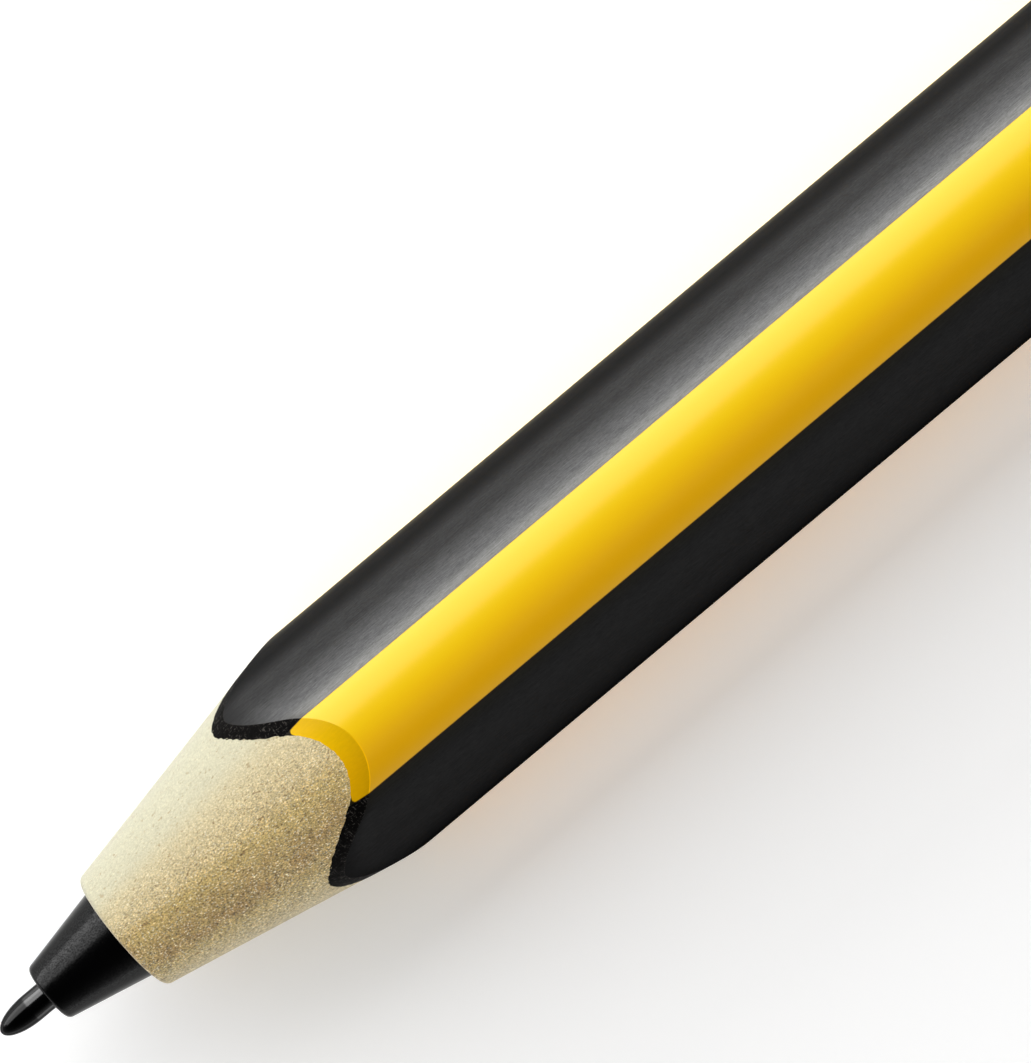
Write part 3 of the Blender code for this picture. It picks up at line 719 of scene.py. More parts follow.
def rough(*coordinates: Union[np.ndarray, float]) -> np.ndarray:
    """Smooth noise over a set of places.

    Args:
        coordinates: the places' three coordinates, each a number or an array.

    Returns:
        Heights from about -1 to 1, in the shape that the arrays share.
    """
    places = np.stack(np.broadcast_arrays(*coordinates), axis=-1)
    heights = [noise.noise(place) for place in places.reshape(-1, 3).tolist()]
    return np.reshape(heights, places.shape[:-1])


def quarter_turn(steps: int) -> list[float]:
    """Even angles through a quarter turn, with both of its ends."""
    return [math.pi / 2 * i / steps for i in range(steps + 1)]


def on_top(steps: int, radius: float, half_width: float) -> np.ndarray:
    """Which columns of a turned piece lie in a notch of this width along the top of this radius."""
    bearings = all_round(steps)
    return (np.abs(np.sin(bearings)) * radius < half_width) & (np.cos(bearings) > 0)


@dataclass
class Loft:
    """A closed mesh of columns, each a row of points, joined side by side."""

    name: str
    columns: np.ndarray
    round_axis: bool = True
    looped: bool = True
    slots: Sequence[int] = ()
    numbers: dict[str, np.ndarray] = field(default_factory=dict)

    def build(self, finishes: Sequence[Finish]) -> bpy.types.Object:
        """Makes the mesh as an object, with its finishes, numbers and map.

        Args:
            finishes: one for each slot.

        Returns:
            The object, in the scene.
        """
        count, rows = self.columns.shape[:2]
        index = np.arange(count * rows).reshape(count, rows)
        if self.round_axis:
            index = np.vstack((index, index[:1]))
        if self.looped:
            index = np.hstack((index, index[:, :1]))
        faces = np.stack((index[:-1, :-1], index[:-1, 1:], index[1:, 1:], index[1:, :-1]), axis=-1)
        across, along = faces.shape[:2]
        faces = faces.reshape(-1, 4).tolist()
        if not self.round_axis:
            faces += [index[0, :rows].tolist(), index[-1, :rows].tolist()]
        mesh = bpy.data.meshes.new(self.name)
        mesh.from_pydata(self.columns.reshape(-1, 3).tolist(), [], faces)
        for finish in finishes:
            mesh.materials.append(finish.material())
        for name, values in self.numbers.items():
            mesh.attributes.new(name, "FLOAT", "POINT").data.foreach_set("value", values.ravel())
        if self.slots:
            worn = np.zeros(len(faces), np.int32)
            worn[: across * along] = np.tile(self.slots, across)
            mesh.polygons.foreach_set("material_index", worn)
        self.lay_map(mesh, across, along)
        self.close(mesh)
        return placed(self.name, mesh)

    def lay_map(self, mesh: bpy.types.Mesh, across: int, along: int) -> None:
        """Lays the grid out flat, so that close rows get more of a baked picture.

        Args:
            mesh: the mesh, with its grid's faces first.
            across: faces from the first column to the last.
            along: faces in a column.
        """
        capped = 1.0 if self.round_axis else CAPS_FROM
        u, v = np.meshgrid(np.arange(across), np.arange(along), indexing="ij")
        u = np.stack((u, u, u + 1, u + 1), axis=-1) * (capped / across)
        v = np.stack((v, v + 1, v + 1, v), axis=-1) / along
        places = np.stack((u.ravel(), v.ravel()), axis=-1)
        if not self.round_axis:
            rows = self.columns.shape[1]
            for side in CAP_PLACES:
                cap = np.stack((np.full(rows, side), np.arange(rows) / rows), axis=-1)
                cap[0, 0] += CAP_WIDTH
                places = np.vstack((places, cap))
        layer = mesh.uv_layers.new(name=BAKE_MAP)
        layer.data.foreach_set("uv", places.astype(np.float32).ravel())

    def close(self, mesh: bpy.types.Mesh) -> None:
        """Joins the points on the axis, turns every face out and shades the mesh smooth.

        Args:
            mesh: the mesh, with all of its faces.
        """
        work = bmesh.new()
        work.from_mesh(mesh)
        if not self.looped:
            bmesh.ops.remove_doubles(work, verts=work.verts, dist=SAME_POINT)
        bmesh.ops.recalc_face_normals(work, faces=work.faces)
        work.to_mesh(mesh)
        work.free()
        mesh.shade_smooth()
        mesh.set_sharp_from_angle(angle=SHARP_EDGE)


def table(rows: Sequence[Row], count: int) -> tuple[np.ndarray, np.ndarray]:
    """Spreads rows of (station, radius), each a number or one for each column, into two grids."""
    pairs = [[np.broadcast_to(value, (count,)) for value in row] for row in rows]
    return np.stack([p[0] for p in pairs], axis=1), np.stack([p[1] for p in pairs], axis=1)


def fillet(before: Row, corner: Row, after: Row, radius: float, steps: int = 10) -> list[Row]:
    """Points of an arc that rounds a corner of a profile.

    Args:
        before: the profile's point before the corner.
        corner: the corner.
        after: the point after it.
        radius: the arc's radius.
        steps: how many pieces the arc has.

    Returns:
        The arc's points.
    """
    peak = Vector(corner)
    back = (Vector(before) - peak).normalized()
    on = (Vector(after) - peak).normalized()
    half = back.angle(on) / 2
    centre = peak + (back + on).normalized() * (radius / math.sin(half))
    first = (peak + back * (radius / math.tan(half)) - centre).normalized()
    last = (peak + on * (radius / math.tan(half)) - centre).normalized()
    return [tuple(centre + radius * first.slerp(last, i / steps)) for i in range(steps + 1)]


def spaced(first: Row, last: Row, count: int) -> list[Row]:
    """Even points along a profile's straight run, without its first."""
    return [tuple(Vector(first).lerp(Vector(last), i / count)) for i in range(1, count + 1)]


def turned(name: str, axis: Axis, rows: Sequence[Row], steps: int, looped: bool) -> Loft:
    """A lathe-turned piece.

    Args:
        name: the piece's name.
        axis: what it is turned about.
        rows: its profile's (station, radius).
        steps: how many columns it has.
        looped: whether the profile closes into a ring, or else ends on the axis.

    Returns:
        The piece, still to be built.
    """
    bearings = all_round(steps)
    stations, radii = table(rows, steps)
    ups = radii * np.cos(bearings)[:, None]
    sides = radii * np.sin(bearings)[:, None]
    return Loft(name, axis.points(stations, ups, sides), looped=looped)


def fitted(piece: bpy.types.Object, body: str, node: str) -> None:
    """Puts a piece on its body in the place of a CAD node, and reports it.

    Args:
        piece: the new piece.
        body: the body that it moves with.
        node: the CAD node that it stands for.
    """
    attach(piece, body)
    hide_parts(node)
    LOG.info("%s: %d faces on %s, for %s", piece.name, len(piece.data.polygons), body, node)


class Coat(Enum):
    """The coat's colours: the record's slot, how far the cut edge smears and how deep its marks are."""

    BLACK = ("black_coat", 0.2, 0.02 * MM)
    YELLOW = ("yellow_coat", 0.07, 0.003 * MM)

    def __init__(self, slot: str, smear: float, notch: float) -> None:
        """Names a colour's values, with the smear as a share of the cut face."""
        self.slot, self.smear, self.notch = slot, smear, notch


class Strip(Enum):
    """The strips of the coat: the piece's name, its CAD node, its colour and the corner it starts at."""

    TOP_STRIPE = ("top_yellow_coat", "yellow_stripe_top", Coat.YELLOW, 0)
    LEFT_STRIPE = ("left_yellow_coat", "yellow_stripe_left", Coat.YELLOW, 1)
    RIGHT_STRIPE = ("right_yellow_coat", "yellow_stripe_right", Coat.YELLOW, 2)
    LEFT_FACE = ("left_black_coat", "black_face_left", Coat.BLACK, 0)
    BOTTOM_FACE = ("bottom_black_coat", "black_face_bottom", Coat.BLACK, 1)
    RIGHT_FACE = ("right_black_coat", "black_face_right", Coat.BLACK, 2)


@dataclass
class Barrel:
    """The sharpened core and the six strips of its coat."""

    axis: Axis
    corner_arc_centre: float = 1.96 * MM
    corner_arc_radius: float = 3.56 * MM
    flat_half_width: float = 0.493 * MM
    coat_on_face: float = 0.14 * MM
    coat_on_corner: float = 0.2 * MM
    stripe_half_angle: float = math.radians(35.2)
    stripe_turns: tuple[float, ...] = (math.radians(2.38), math.radians(3.0), math.radians(-4.0))
    tip_radius: float = 2.8 * MM
    half_angle: float = math.radians(11.7)
    edge_radius: float = 0.33 * MM
    bore_radius: float = 3.2 * MM
    cut_aside: float = 0.0366 * MM
    nose_hole_radius: float = 2.226 * MM
    shoulder: float = 14.95 * MM
    seam: float = 0.004 * MM
    rubbed_from: float = math.radians(2.14)
    mouth_radius: float = 0.05 * MM
    lip: float = 0.004 * MM
    lip_gap: float = 0.001 * MM
    lip_fade: float = 0.25
    least_smear: float = 0.015
    tear_pitch: float = 0.22 * MM
    fray_pitch: float = 0.08 * MM
    tuck: float = 0.02 * MM
    ridge_pitch: float = 0.07 * MM
    ridge_length: float = 1.2 * MM
    notch_pitch: float = 0.11 * MM
    notch_length: float = 0.5 * MM
    pit_depth: float = 0.008 * MM
    pit_size: float = 0.4 * MM
    pit_detail: float = 2.3
    toast_from: float = 0.1 * MM
    toast_fade: float = 0.9 * MM
    core_steps: int = 600
    mouth_steps: int = 4
    cone_rows: int = 128
    back_rows: int = 12
    stripe_steps: int = 100
    column_width: float = 0.04 * MM
    cut_rows: int = 26
    skin_rows: int = 44
    skin_growth: float = 2.2
    wood: Finish = WoodFibre()
    black: Finish = BlackCoat()
    handled_black: Finish = BlackCoat(
        "black_coat_handled",
        # lighter edge tint: painted rim highlight along this face's outline
        stain_and_painted_rim_light=(0.035, 0.032, 0.02),
        haze_index=2.4,
        haze_starts=0.59,
        haze_full=0.26,
        haze_ahead=0.25,
        in_place=True,
        grazing=0.035,
    )
    cut_black: Finish = CutBlack()
    yellow: Finish = YellowCoat()
    cut_yellow: Finish = YellowCoat(
        "yellow_coat_cut",
        # the cut's painted lit and shaded colours
        painted_lit_lemon=(0.78, 0.46, 0.0),
        deep=(0.76, 0.40, 0.0),
        relief=0.004 * MM,
        gloss=0.2,
        hatched=0.25,
    )

    def __post_init__(self) -> None:
        """Takes the barrel's ends from the frame, and its sections from the sizes and the axis."""
        self.front, self.end, _ = self.axis.span("barrel_core")
        arc = (self.corner_arc_centre, self.corner_arc_radius)
        self.section = Section(*arc, self.axis.height - CAD_BOX[0].z, self.flat_half_width)
        self.inside = self.section.under(self.coat_on_face, self.coat_on_corner)

    def build(self) -> None:
        """Makes the core and the coat."""
        fitted(self.core(), "barrel", "barrel_core")
        for strip in Strip:
            name, node, coat, corner = strip.value
            fitted(self.coat(name, coat, corner), "barrel", node)

    def on_cone(self, places: np.ndarray) -> np.ndarray:
        """The stations where the cone, cut a hair off centre, meets these pairs of (up, side)."""
        radii = np.linalg.norm(places + (0.0, self.cut_aside), axis=-1)
        return self.front + (radii - self.tip_radius) / math.tan(self.half_angle)

    def core(self) -> bpy.types.Object:
        """The wood: a cone that runs out into the rounded triangle under the coat, with its bore.

        Returns:
            The core.
        """
        bearings = all_round(self.core_steps)
        outside = self.inside.reach(bearings) - self.seam
        around = np.stack((np.cos(bearings), np.sin(bearings)), axis=-1)
        under = self.on_cone(outside[:, None] * around)
        wide = (self.front + 1.0, self.tip_radius + math.tan(self.half_angle))
        edge = fillet((self.front, 0.0), (self.front, self.tip_radius), wide, self.edge_radius)
        rows = [(self.end, self.bore_radius), (self.shoulder, self.bore_radius)]
        rows += [(self.shoulder, self.nose_hole_radius)]
        mouth = ((self.shoulder, self.nose_hole_radius), (self.front, self.nose_hole_radius))
        rows += fillet(*mouth, (self.front, self.tip_radius), self.mouth_radius, self.mouth_steps) + edge
        first = len(rows)
        cone_start, cone_radius = edge[-1]
        shares = np.arange(1, self.cone_rows + 1) / self.cone_rows
        for share in shares:
            station = cone_start + (under - cone_start) * share
            rows.append((station, cone_radius + (outside - cone_radius) * share))
        rows += [
            (under + (self.end - under) * i / self.back_rows, outside)
            for i in range(1, self.back_rows + 1)
        ]
        stations, radii = table(rows, self.core_steps)
        cone = slice(first, first + self.cone_rows - 1)
        radii[:, cone] += self.pits(stations[:, cone], bearings)
        off_centre = np.zeros(len(rows))
        off_centre[first - len(edge) : first] = 1.0
        off_centre[first : first + self.cone_rows] = 1.0 - shares
        ups = radii * around[:, :1]
        sides = radii * around[:, 1:] - off_centre * self.cut_aside
        numbers = self.tones(stations, around[:, 1:])
        numbers["rim"] = np.minimum(np.abs(under[:, None] - stations), np.abs(stations - self.front))
        loft = Loft("sharpened_core", self.axis.points(stations, ups, sides), numbers=numbers)
        return loft.build([self.wood])

    def tones(self, stations: np.ndarray, aside: np.ndarray) -> dict[str, np.ndarray]:
        """How the wood's tone varies: painted paler on the lit +Y flank, and warmer on the -Y flank, with a
        painted shade band and painted grain shading there.

        Args:
            stations: by column and row.
            aside: how far each column lies towards +Y, from -1 to 1.

        Returns:
            The numbers that the wood's finish reads, by column and row.
        """
        every = np.ones_like(stations)
        by_front = np.exp(-np.maximum(stations - self.front - self.toast_from, 0.0) / self.toast_fade)
        by_front = by_front * np.interp(aside, (-0.8, -0.6, -0.1, 0.05), (0.0, 1.0, 1.0, 0.0))
        # painted shade: a dark band along the -Y flank where the key lamp's light ends
        low = np.interp(aside, (-0.7, -0.58, -0.5, -0.3, -0.15), (0.0, 1.6, 1.3, 0.75, 0.0))
        # painted light: paler towards the lit +Y flank
        pale = np.interp(aside, (-1.0, -0.7, 0.0, 0.4, 0.6, 1.0), (0.35, 0.1, 0.0, 0.45, 0.85, 1.0))
        return {
            "painted_light_pale": every * pale,
            "warmed": every * np.interp(aside, (-0.95, -0.65, -0.12, 0.06), (0.0, 1.0, 1.0, 0.0)),
            "toast_and_painted_shade": np.maximum(by_front, low),
            # painted grain shading: more contrast on the shaded -Y flank, less on the lit +Y flank
            "coarse": every * np.interp(aside, (-1.0, -0.55, 0.0, 0.55), (1.25, 1.6, 1.15, 0.32)),
        }

    def pits(self, stations: np.ndarray, bearings: np.ndarray) -> np.ndarray:
        """How far the wood's uneven surface lies under the cone.

        Args:
            stations: by column and row.
            bearings: one for each column.

        Returns:
            The depths, by column and row, which fade towards the cone's two ends.
        """
        rows = stations.shape[1]
        fade = np.sin(math.pi * (np.arange(rows) + 1) / (rows + 1)) ** 0.5
        along = stations / self.pit_size
        around = np.stack((np.cos(bearings), np.sin(bearings)))[..., None] * self.tip_radius / self.pit_size
        coarse, fine = (rough(scale * along, *(scale * around)) for scale in (1.0, self.pit_detail))
        return (0.6 * coarse + 0.4 * fine - 1.0) * fade * self.pit_depth

    def outline(self, section: Section, coat: Coat, corner: int) -> np.ndarray:
        """The share of a section's outline that a strip covers.

        Args:
            section: the outer or the inner section.
            coat: the strip's colour.
            corner: the corner that it covers, or that it starts at.

        Returns:
            A row of (up, side) for each column.
        """
        joint = self.seam / 2 / self.corner_arc_radius
        turn = self.stripe_turns[corner]
        if coat is Coat.YELLOW:
            reach = self.stripe_half_angle - joint
            normals = np.linspace(-reach, reach, self.stripe_steps + 1)
            return section.by_corner(corner, normals + turn)
        reach = self.stripe_half_angle + joint
        after = (corner + 1) % CORNERS
        near = section.by_corner(corner, self.flank(reach + turn))
        far = section.by_corner(after, -self.flank(reach - self.stripe_turns[after])[::-1])
        on_flat = round(2 * self.flat_half_width / self.column_width)
        shares = (np.arange(1, on_flat) / on_flat)[:, None]
        return np.vstack((near, near[-1] + (far[0] - near[-1]) * shares, far))

    def flank(self, edge: float) -> np.ndarray:
        """The directions that a black strip's outline faces from its edge to the flat.

        Args:
            edge: the first direction, counted from the corner's own.

        Returns:
            The directions, as evenly spread along the outline as the column's width asks for.
        """
        shoulder_radius, start = self.section.shoulder()
        on_arc = round((start - edge) * self.corner_arc_radius / self.column_width)
        on_shoulder = round((CORNER_TO_FACE - start) * shoulder_radius / self.column_width)
        normals = np.linspace(edge, start, on_arc, endpoint=False)
        return np.concatenate((normals, np.linspace(start, CORNER_TO_FACE, on_shoulder + 1)))

    def coat(self, name: str, coat: Coat, corner: int) -> bpy.types.Object:
        """One strip of the coat, with the ridged face and torn lip that the sharpener left.

        Args:
            name: the piece's name.
            coat: its colour.
            corner: the corner that it covers, or that it starts at.

        Returns:
            The strip.
        """
        outer = self.outline(self.section, coat, corner)
        inner = self.outline(self.inside, coat, corner)
        steps = np.linalg.norm(np.diff(outer, axis=0), axis=1)
        around = np.concatenate(((0.0,), np.cumsum(steps)))
        torn = self.torn_lip(around, coat.smear, corner)
        shares = torn[:, None] + (1.0 - torn[:, None]) * np.linspace(0.0, 1.0, self.cut_rows + 1)
        cut = inner[:, None, :] + shares[..., None] * (outer - inner)[:, None, :]
        radii = np.linalg.norm(cut, axis=2)
        stations = self.on_cone(cut)
        lifts = self.lip + coat.notch * self.marks(stations, around, corner)
        lifts *= np.minimum(1.0, (1.0 - shares) / self.lip_fade)
        cut *= (1.0 + lifts / radii)[..., None]
        under_lip = cut[:, 0] * (1.0 - (lifts[:, 0] - self.lip_gap) / radii[:, 0])[:, None]
        ends = np.full(len(outer), self.end)
        meets = self.on_cone(inner) + self.tuck
        growth = (np.arange(1, self.skin_rows + 1) / self.skin_rows) ** self.skin_growth
        skin = stations[:, -1:] + (self.end - stations[:, -1:]) * growth
        inside = np.stack((inner, inner, under_lip), axis=1)
        first = inside.shape[1]
        places = np.concatenate((inside, cut, np.repeat(outer[:, None], self.skin_rows, axis=1)), axis=1)
        inside = np.stack((ends, meets, stations[:, 0]), axis=1)
        stations = np.concatenate((inside, stations, skin), axis=1)
        every = np.ones_like(stations)
        numbers = {
            "border": np.minimum(around, around[-1] - around)[:, None] * every,
            "behind": np.maximum(stations - stations[:, first : first + 1], 0.0),
            "share": np.zeros_like(stations),
            "tilt": self.tilt(outer)[:, None] * every,
        }
        numbers["share"][:, first : first + self.cut_rows + 1] = shares
        slots = [0, 0, 1] + [1] * self.cut_rows + [0] * (self.skin_rows + 1)
        columns = self.axis.points(stations, places[..., 0], places[..., 1])
        return Loft(name, columns, False, True, slots, numbers).build(self.finishes(coat, corner))

    def finishes(self, coat: Coat, corner: int) -> list[Finish]:
        """The finishes of a strip's skin and of its cut edge, with the first black face dulled by hands."""
        black = self.black if corner else self.handled_black
        return [black, self.cut_black] if coat is Coat.BLACK else [self.yellow, self.cut_yellow]

    def tilt(self, outline: np.ndarray) -> np.ndarray:
        """How far an outline turns away from where hands rub it: 0 where it faces there, 1 square to it.

        Args:
            outline: a row of (up, side) for each column.

        Returns:
            A number for each column.
        """
        ups, sides = np.gradient(outline, axis=0).T
        facing = sides * math.cos(self.rubbed_from) - ups * math.sin(self.rubbed_from)
        return 1.0 - facing / np.hypot(ups, sides)

    def torn_lip(self, around: np.ndarray, reach: float, seed: int) -> np.ndarray:
        """How far the coat's front edge is smeared over the wood.

        Args:
            around: each column's place along the strip's width.
            reach: the longest smear, as a share of the cut face.
            seed: which strip it is, so that no two tear alike.

        Returns:
            For each column, a share below 0, which lies in front of the coat's inside.
        """
        coarse = rough(around / self.tear_pitch, seed * 7.3, 0.5)
        fine = rough(around / self.fray_pitch, seed * 3.1, 9.5)
        return -self.least_smear - reach * np.clip(0.5 + 0.3 * coarse + 0.35 * fine, 0.0, 1.0)

    def marks(self, stations: np.ndarray, around: np.ndarray, seed: int) -> np.ndarray:
        """The marks that the blade left: ridges round the cone, crossed by notches along it.

        Args:
            stations: by column and row.
            around: each column's place along the strip's width.
            seed: which strip it is.

        Returns:
            Heights from about -1 to 0.6, by column and row.
        """
        across = around[:, None]
        ridges = rough(stations / self.ridge_pitch, across / self.ridge_length, seed * 5.7)
        notches = rough(stations / self.notch_length, across / self.notch_pitch, seed * 2.9)
        return 0.25 * ridges - 0.9 * np.maximum(notches, 0.0) + 0.2


@dataclass
class NibEnd:
    """The moulded nose and the nib that slides in it."""

    axis: Axis
    nib_point: float = 1.65 * MM
    nib_head: float = 6.0 * MM
    nib_step: float = 0.03 * MM
    nose_tip_radius: float = 1.32 * MM
    nose_half_angle: float = math.radians(12.2)
    nose_edge_radius: float = 0.25 * MM
    guide_radius: float = 0.68 * MM
    guide_end: float = 8.0 * MM
    chamber_wall: float = 0.37 * MM
    flange_length: float = 1.2 * MM
    notch_half_width: float = 0.65 * MM
    notch_wall: float = 0.05 * MM
    mouth_radius: float = 0.04 * MM
    mouth_steps: int = 4
    taper_rows: int = 30
    point_rows: int = 24
    head_rows: int = 16
    stem_chamfer: float = 0.12 * MM
    steps: int = 240
    black: Colour = (0.0006, 0.0006, 0.0007)

    def build(self) -> None:
        """Makes the nose and the nib."""
        gloss = {"shine": 0.09, "drawn": 1.5, "polish": 0.17, "speckle": 0.8}
        nose = Moulded("nose_black_plastic", self.black, 0.22, 0.05 * MM, 0.004 * MM, **gloss)
        fitted(self.nose().build([nose]), "barrel", "nose_cone")
        gloss = {"shine": 0.035, "drawn": 2.0, "polish": 1.0, "worn_to": self.axis.tip + self.nib_point}
        nib = Moulded("nib_black_plastic", self.black, 0.15, **gloss)
        fitted(self.nib().build([nib]), "nib", "nib")

    def nose(self) -> Loft:
        """The nose: a tapered tip, a shank, and a flange with a notch for the coil's leads.

        Returns:
            The nose, still to be built.
        """
        front, back, flange_radius = self.axis.span("nose_cone")
        wood = self.axis.span("barrel_core")[0]
        shank = self.nose_tip_radius + (wood - front) * math.tan(self.nose_half_angle)
        chamber = shank - self.chamber_wall
        flange = back - self.flange_length
        notched = on_top(self.steps, flange_radius, self.notch_half_width)
        inner = np.where(notched, flange + self.notch_wall, back)
        hole = ((self.guide_end, self.guide_radius), (front, self.guide_radius))
        rows = fillet(*hole, (front, self.nose_tip_radius), self.mouth_radius, self.mouth_steps)
        taper = (wood, shank)
        rows += fillet((front, 0.0), (front, self.nose_tip_radius), taper, self.nose_edge_radius)
        rows += spaced(rows[-1], taper, self.taper_rows)
        rows += [(flange, shank), (flange, flange_radius), (inner, flange_radius), (inner, chamber)]
        rows += [(self.guide_end, chamber), (self.guide_end, self.guide_radius)]
        return turned("nose_shell", self.axis, rows, self.steps, True)

    def nib(self) -> Loft:
        """The nib: a rounded point, a guided head and a thin stem.

        Returns:
            The nib, still to be built.
        """
        _, end, radius = self.axis.span("nib")
        stem = radius - self.nib_step
        rows = [
            (self.nib_point * (1 - math.cos(angle)), radius * math.sin(angle))
            for angle in quarter_turn(self.point_rows)
        ]
        rows += spaced(rows[-1], (self.nib_head - self.nib_step, radius), self.head_rows)
        rows += [(self.nib_head, stem), (end - self.stem_chamfer, stem), (end, stem - self.stem_chamfer)]
        rows += [(end, 0.0)]
        return turned("drawing_nib", self.axis, rows, self.steps // 2, False)


@dataclass
class EraserEnd:
    """The collar that closes the barrel and the eraser button in it."""

    axis: Axis
    section: Section
    recess_radius: float = 3.5 * MM
    recess_floor: float = 5.9 * MM
    rim_radius: float = 0.45 * MM
    guide_radius: float = 0.68 * MM
    guide_end: float = 8.0 * MM
    spigot_radius: float = 3.15 * MM
    chamber_radius: float = 1.806 * MM
    head_end: float = 7.95 * MM
    notch_start: float = 15.05 * MM
    notch_half_width: float = 0.65 * MM
    eraser_crown: float = 0.5 * MM
    eraser_edge_radius: float = 1.2 * MM
    socket_radius: float = 0.63 * MM
    socket_depth: float = 2.0 * MM
    back_edge: float = 0.06 * MM
    mouth_radius: float = 0.1 * MM
    mouth_steps: int = 5
    foot_radius: float = 0.15 * MM
    foot_steps: int = 4
    rim_rows: int = 10
    crown_rows: int = 14
    edge_steps: int = 16
    side_rows: int = 8
    steps: int = 240

    def build(self) -> None:
        """Makes the collar and the eraser."""
        plastic = Moulded("collar_black_plastic", (0.010, 0.010, 0.011), 0.38, shine=0.35)
        fitted(self.collar().build([plastic]), "barrel", "end_collar")
        rubber = Moulded("eraser_grey_rubber", (0.055, 0.055, 0.06), 0.72, 0.12 * MM, 0.012 * MM, 0.3, 0.3)
        fitted(self.eraser().build([rubber]), "eraser", "eraser_head")

    def collar(self) -> Loft:
        """The collar: the barrel's section with a rounded rim, a recess, and a bored spigot.

        Returns:
            The collar, still to be built.
        """
        rim, end, _ = self.axis.depths("end_collar")
        bearings = all_round(self.steps)
        outside = self.section.reach(bearings)
        notched = on_top(self.steps, self.spigot_radius, self.notch_half_width)
        inner = np.where(notched, self.notch_start, end)
        rows = [(inner, self.spigot_radius), (self.head_end, self.spigot_radius)]
        rows += [(self.head_end, outside - self.back_edge), (self.head_end - self.back_edge, outside)]
        for angle in quarter_turn(self.rim_rows):
            inset = self.section.under(self.inset(angle), self.inset(angle))
            rows.append((rim + self.inset(math.pi / 2 - angle), inset.reach(bearings)))
        mouth = ((rim, self.recess_radius + 1.0), (rim, self.recess_radius))
        floor = (self.recess_floor, self.recess_radius)
        rows += fillet(*mouth, floor, self.mouth_radius, self.mouth_steps)
        rows += [floor, (self.recess_floor, self.guide_radius)]
        rows += [(self.guide_end, self.guide_radius), (self.guide_end, self.chamber_radius)]
        rows += [(inner, self.chamber_radius)]
        return turned("rear_collar", self.axis, self.axis.from_crown(rows), self.steps, True)

    def inset(self, angle: float) -> float:
        """How far the rim's rounding lies inside the collar at an angle into its arc."""
        return self.rim_radius * (1 - math.cos(angle))

    def eraser(self) -> Loft:
        """The eraser: a low crown, a rounded edge and a socket for its rod.

        Returns:
            The eraser, still to be built.
        """
        _, back, radius = self.axis.depths("eraser_head")
        rim = (self.eraser_crown, radius)
        edge = fillet((0.0, 0.0), rim, (back, radius), self.eraser_edge_radius, self.edge_steps)
        rows = [(0.0, 0.0), *spaced((0.0, 0.0), edge[0], self.crown_rows), *edge[1:]]
        foot = fillet(edge[-1], (back, radius), (back, 0.0), self.foot_radius, self.foot_steps)
        rows += spaced(edge[-1], foot[0], self.side_rows) + foot[1:]
        socket = back - self.socket_depth
        rows += [(back, self.socket_radius), (socket, self.socket_radius), (socket, 0.0)]
        return turned("eraser_button", self.axis, self.axis.from_crown(rows), self.steps, False)


@dataclass
class ReturnSpring:
    """The coil spring behind one end's holder, which shortens as the holder is pressed in."""

    axis: Axis
    name: str
    node: str
    holder_body: str
    inwards: float
    coil_radius: float = 1.55 * MM
    wire_radius: float = 0.11 * MM
    turns: float = 4.5
    steps: int = 160
    wire_steps: int = 12
    steel: Finish = Metal("spring_steel", (0.62, 0.62, 0.6), (0.4, 0.4, 0.39), 0.22, 0.2 * MM, 0.003 * MM)

    def build(self) -> None:
        """Winds the spring between the ends of its CAD node."""
        low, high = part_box(self.node)
        ends = (low.x + self.wire_radius, high.x - self.wire_radius)[:: int(self.inwards)]
        angles = np.linspace(0.0, 2 * math.pi * self.turns, self.steps + 1)
        sides = self.inwards * np.sin(angles)
        outwards = np.stack((np.zeros_like(angles), sides, -np.cos(angles)), axis=-1)
        centres = self.coil_radius * outwards + (0.0, 0.0, self.axis.height)
        centres[:, 0] = np.linspace(*ends, self.steps + 1)
        along = np.gradient(centres, axis=0)
        across = np.cross(along / np.linalg.norm(along, axis=1, keepdims=True), outwards)
        turn = all_round(self.wire_steps)
        ring = np.cos(turn)[:, None] * outwards[:, None] + np.sin(turn)[:, None] * across[:, None]
        columns = centres[:, None] + self.wire_radius * ring
        piece = Loft(self.name, columns, round_axis=False).build([self.steel])
        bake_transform(piece)
        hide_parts(self.node)
        LOG.info("%s: from %s to the barrel, for %s", piece.name, self.holder_body, self.node)


